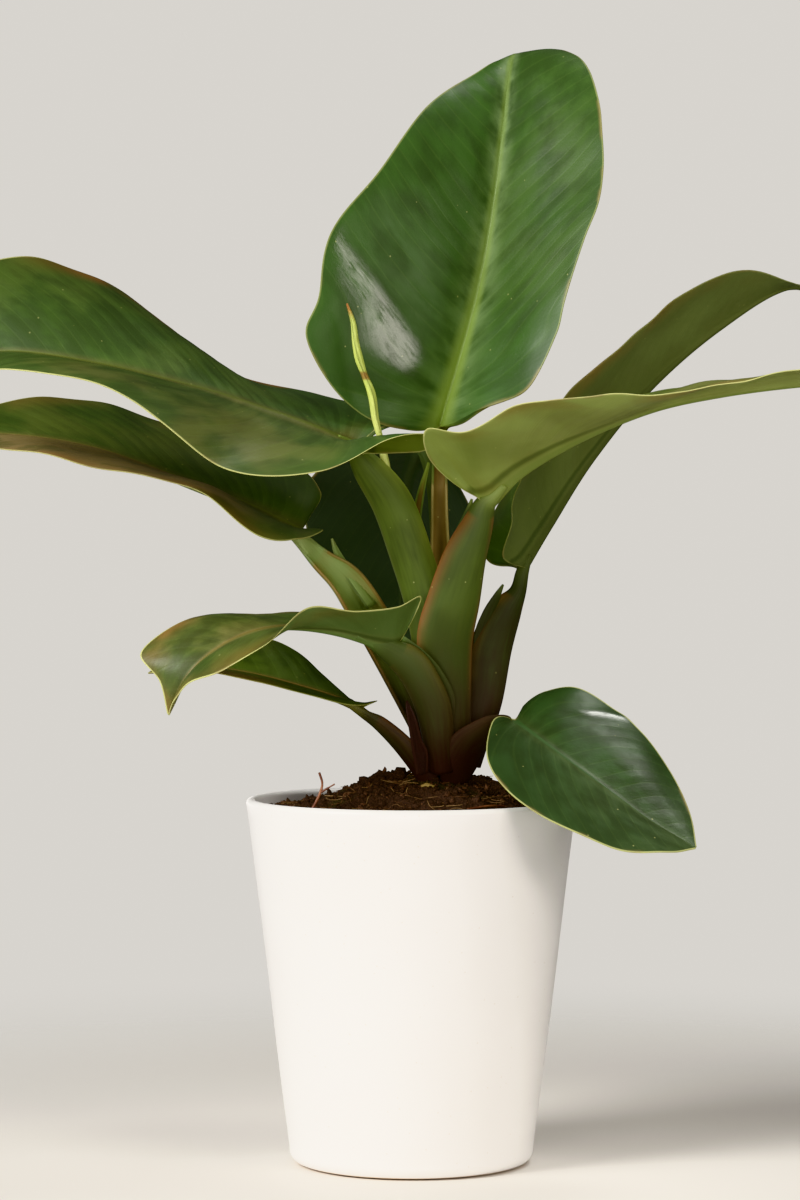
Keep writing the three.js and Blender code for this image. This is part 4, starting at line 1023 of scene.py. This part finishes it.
class PHILODENDRON_OT_soil(bpy.types.Operator):
    """Fills the pot with soil and scatters crumbs, fibres and twigs on it"""

    bl_idname = "philodendron.soil"
    bl_label = "Soil"

    def execute(self, context):
        settings = context.scene.philodendron_soil
        edge = inner_radius(SOIL_EDGE) - GAP
        bottom = POT_FLOOR + GAP
        heel = bottom + HEEL_ROUND
        radii = np.linspace(0.4, edge, SOIL_RINGS)
        down = np.linspace(SOIL_EDGE - 1.5, heel, 12)
        side = stacked(inner_radius(down) - GAP, down)
        under = arc(inner_radius(heel) - GAP - HEEL_ROUND, heel, HEEL_ROUND, -10, -90, 6)
        foot = [[r, bottom] for r in (30, 15, 1)]
        loops = turned(np.concatenate([stacked(radii, 0), side, under, foot]), SOIL_SIDES)
        top = loops[:len(radii)]
        top[..., 2] = rough_soil(top[..., 0], top[..., 1])
        moss = smooth(0.5, 1.1, ripples(loops, 24, 5))
        Body().skin(loops, stacked(0, moss, 0)).piece("soil_fill", soil_finish(settings), "soil", "soil")

        rng = np.random.default_rng(7)
        count = settings.crumbs
        x, y = scattered(rng, count, edge - 1.5)
        size = np.clip(rng.lognormal(-0.4, 0.45, count), 0.3, 2.6)
        places = stacked(x, y, rough_soil(x, y) + 0.25 * size)
        tone = stacked(rng.uniform(0, 1, count), 0, 0)[:, None, None]
        crumbs = Body().skin(lumps(places, size, rng), tone)
        crumbs.piece("soil_crumbs", soil_finish(settings, "loose_crumbs"), "soil")

        count = settings.fibres
        t = np.linspace(-1, 1, 11)[:, None]
        x, y = scattered(rng, count, edge - 6)
        turn = rng.uniform(0, 2 * math.pi, count)
        ahead = stacked(np.cos(turn), np.sin(turn), rng.normal(0, 0.12, count))
        bend = stacked(-np.sin(turn), np.cos(turn), rng.uniform(-0.2, 0.6, count))
        length = rng.uniform(2, 8, count)[:, None, None]
        curl = rng.normal(0, 0.35, count)[:, None, None]
        paths = length * (ahead[:, None] * t + bend[:, None] * curl * t * t)
        paths[..., :2] += stacked(x, y)[:, None]
        held = np.hypot(paths[..., 0], paths[..., 1]) / (edge - 1)
        paths[..., :2] /= np.maximum(held, 1)[..., None]
        ground = rough_soil(paths[..., 0], paths[..., 1])
        paths[..., 2] = np.maximum(paths[..., 2] + rough_soil(x, y)[:, None] + 0.6, ground + 0.3)
        radii = rng.uniform(0.08, 0.17, count)[:, None] * (1.15 - 0.5 * t[:, 0] ** 2)
        tone = stacked(length[..., 0] * t[:, 0], 0, rng.uniform(0, 1, count)[:, None])
        fibres = Body().skin(rods(paths, radii, 5), tone[:, :, None])
        fibres.piece("coir_fibres", husk_finish("coir", settings.fibre, settings.fibre_shade), "soil")

        twigs = Body()
        t = np.linspace(0, 1, 21)
        for path, radius in TWIGS:
            line = spline(path, t)
            wide = radius * (1.1 - 0.35 * t + 0.1 * ripples(line, 4, 3))
            twigs.skin(rods(line[None], wide[None], 10)[0], stacked(reach(line), 0, 0.4)[:, None])
        twigs.piece("twigs", husk_finish("twig_bark", settings.bark, settings.bark_shade), "soil")
        return {"FINISHED"}


class PHILODENDRON_OT_stem(bpy.types.Operator):
    """Turns the short stem, ridged by old leaf scars and tapered at both ends"""

    bl_idname = "philodendron.stem"
    bl_label = "Stem"

    def execute(self, context):
        low, high = STEM_ENDS
        share = np.linspace(0, 1, 130)
        taper = 0.25 * np.maximum(0, 1 - share / 0.2) + 0.4 * np.maximum(0, share - 0.6)
        ridge = 0.45 * np.abs(np.sin(4.5 * math.pi * share)) ** 0.6
        radius = (STEM_RADIUS * (1 - taper) + ridge) * np.minimum(1, 0.15 + 14 * (1 - share))
        height = low + 1 + share * (high - low - 2)
        loops = turned(stacked(radius, height), 48)
        loops[..., :2] *= 1 + 0.03 * ripples(loops, 7, 31)[..., None]
        place = stacked(loops[..., 2], loops[..., 0] / STEM_RADIUS, 0.3)
        stem = Body().skin(loops + [*STEM_PLACE, 0], place)
        stem.piece("scarred_stem", husk_finish("stem_bark", "#42211a", "#1e0d0a"), "stem", "stem")
        return {"FINISHED"}


class PHILODENDRON_OT_leaves(bpy.types.Operator):
    """Lays the nine leaves, each a blade with its sheathed stalk"""

    bl_idname = "philodendron.leaves"
    bl_label = "Leaves"

    def execute(self, context):
        settings = context.scene.philodendron_leaf
        for seed, (name, leaf) in enumerate(LEAVES.items()):
            body = Body()
            blade(body, name, 100 * seed, settings)
            stalk(body, leaf["stalk"], leaf["facing"])
            if "ear" in leaf:
                stalk(body, thin(leaf["ear"]), leaf["facing"])
            body.piece(name + "_grown", leaf_finish(name, settings), "leaf", name)
        return {"FINISHED"}


class PHILODENDRON_OT_new_leaf(bpy.types.Operator):
    """Rolls the new leaf: a circle of its stations' radius that shrinks by 13 % round the turn, so that
    its free edge stands over the seam, which winds slowly up the roll"""

    bl_idname = "philodendron.new_leaf"
    bl_label = "New leaf"

    def execute(self, context):
        t = np.linspace(0, 1, 141)
        row, side, up = framed(NEW_LEAF, t, [0.5, -0.8, 0.2])
        a = np.linspace(0, 2 * math.pi, 41)
        size = 1 - 0.13 * np.minimum(a / (2 * math.pi) / 0.94, 1)
        size[-1] = 0.97
        seam = 0.9 + 2.2 * t[:, None]
        ring = side * np.cos(a + seam)[..., None] + up * np.sin(a + seam)[..., None]
        loops = row[:, None, :3] + ring * (row[:, 3:] * size)[..., None]
        body = Body().skin(loops, stacked(reach(row[:, :3])[:, None], a, 0))
        body.piece("rolled_new_leaf", rolled_finish(), "new_leaf", "new_leaf")
        return {"FINISHED"}


class PHILODENDRON_OT_dry_bits(bpy.types.Operator):
    """Adds the dry scale and the chip that lie at the crown"""

    bl_idname = "philodendron.dry_bits"
    bl_label = "Dry bits"

    def execute(self, context):
        for name, (pale, dark, facing, stations) in DRY_BITS.items():
            body = Body()
            stalk(body, stations, facing, edged=False)
            body.piece(name, husk_finish(name, pale, dark), "stem")
        return {"FINISHED"}


class PHILODENDRON_OT_stage(bpy.types.Operator):
    """Sets the pale floor, which fades out into the backdrop, the lights and the camera"""

    bl_idname = "philodendron.stage"
    bl_label = "Stage"

    def execute(self, context):
        settings = context.scene.philodendron_stage
        scene = context.scene
        a = np.arange(64) * 2 * math.pi / 64
        mesh = bpy.data.meshes.new("floor")
        ring = stacked(FLOOR_RADIUS * np.cos(a), FLOOR_RADIUS * np.sin(a), -FLOOR_DEPTH)
        mesh.from_pydata(ring, [], [list(range(64))])
        s, here = new_finish("pale_floor")
        x, y, _ = s.parts(here)
        far = s.math("SQRT", x * x + y * y)
        tone = s.blend(s.noise(here, 3) * 0.3, settings.floor, settings.backdrop)
        ground = s.node("ShaderNodeBsdfPrincipled", {}, {"Base Color": tone, "Roughness": 0.6})
        air = s.node("ShaderNodeBsdfTransparent", {}, {})
        mixed = s.node("ShaderNodeMixShader", {}, {0: s.rise(far, 0.13, 0.62), 1: ground, 2: air})
        s.node("ShaderNodeOutputMaterial", {}, {0: mixed})
        mesh.materials.append(s.owner)
        floor = bpy.data.objects.new("floor", mesh)
        scene.collection.objects.link(floor)

        scene.world = scene.world or bpy.data.worlds.new("room")
        w = Shader(scene.world)
        seen = w.node("ShaderNodeLightPath", {}, {})
        room = w.node("ShaderNodeBackground", {}, {0: rgba("#fdf8f2"), 1: settings.world})
        back = w.node("ShaderNodeBackground", {}, {0: rgba(settings.backdrop), 1: 1.0})
        mixed = w.node("ShaderNodeMixShader", {}, {0: seen, 1: room, 2: back})
        w.node("ShaderNodeOutputWorld", {}, {0: mixed})
        scene.view_settings.view_transform = "Khronos PBR Neutral"
        for name, lamp in LAMPS.items():
            self.lamp(name, getattr(settings, name), *lamp)

        eye = bpy.data.cameras.new("camera")
        eye.sensor_width = 36
        eye.lens = settings.lens
        eye.clip_end = 20
        camera = bpy.data.objects.new("camera", eye)
        camera.location = EYE
        camera.rotation_euler = (math.pi / 2 - EYE_TILT, 0, 0)
        scene.collection.objects.link(camera)
        scene.camera = camera
        return {"FINISHED"}

    @staticmethod
    def lamp(name, power, place, aim, sides, tint, along, beam):
        """A flat light that faces its aim, its longer side as near to along as that allows, and whose
        beam opens by that many degrees."""
        light = bpy.data.lights.new(name, "AREA")
        light.spread = math.radians(beam)
        light.shape = "RECTANGLE"
        light.size, light.size_y = sides
        light.energy = power
        light.color = rgba(tint)[:3]
        back = (Vector(place) - Vector(aim)).normalized()
        side = (Vector(along) - back * back.dot(Vector(along))).normalized()
        lamp = bpy.data.objects.new(name, light)
        lamp.location = place
        lamp.rotation_euler = Matrix((side, back.cross(side), back)).transposed().to_euler()
        bpy.context.scene.collection.objects.link(lamp)


class PHILODENDRON_PT_panel(bpy.types.Panel):
    """Lists the plant's pieces and their settings"""

    bl_idname = "PHILODENDRON_PT_panel"
    bl_label = "Potted philodendron"
    bl_space_type = "VIEW_3D"
    bl_region_type = "UI"
    bl_category = "Philodendron"

    def draw(self, context):
        for key, (settings, *operators) in GROUPS.items():
            box = self.layout.box()
            for name in settings.__annotations__:
                box.prop(getattr(context.scene, key), name)
            for operator in operators:
                box.operator(operator.bl_idname)


# The settings that each part of the plant keeps in the scene, and the operators that use them.
GROUPS = {
    "philodendron_pot": (PotSettings, PHILODENDRON_OT_pot),
    "philodendron_soil": (
        SoilSettings, PHILODENDRON_OT_soil, PHILODENDRON_OT_stem, PHILODENDRON_OT_dry_bits),
    "philodendron_leaf": (LeafSettings, PHILODENDRON_OT_leaves, PHILODENDRON_OT_new_leaf),
    "philodendron_stage": (StageSettings, PHILODENDRON_OT_stage),
}
CLASSES = [part for group in GROUPS.values() for part in group] + [PHILODENDRON_PT_panel]


def register():
    for part in CLASSES:
        bpy.utils.register_class(part)
    for key, (settings, *_) in GROUPS.items():
        setattr(bpy.types.Scene, key, PointerProperty(type=settings))


def unregister():
    for key in GROUPS:
        delattr(bpy.types.Scene, key)
    for part in reversed(CLASSES):
        bpy.utils.unregister_class(part)


def main():
    register()
    bpy.ops.philodendron.pot()
    bpy.ops.philodendron.soil()
    bpy.ops.philodendron.stem()
    bpy.ops.philodendron.leaves()
    bpy.ops.philodendron.new_leaf()
    bpy.ops.philodendron.dry_bits()
    bpy.ops.philodendron.stage()


if __name__ == "__main__":
    main()
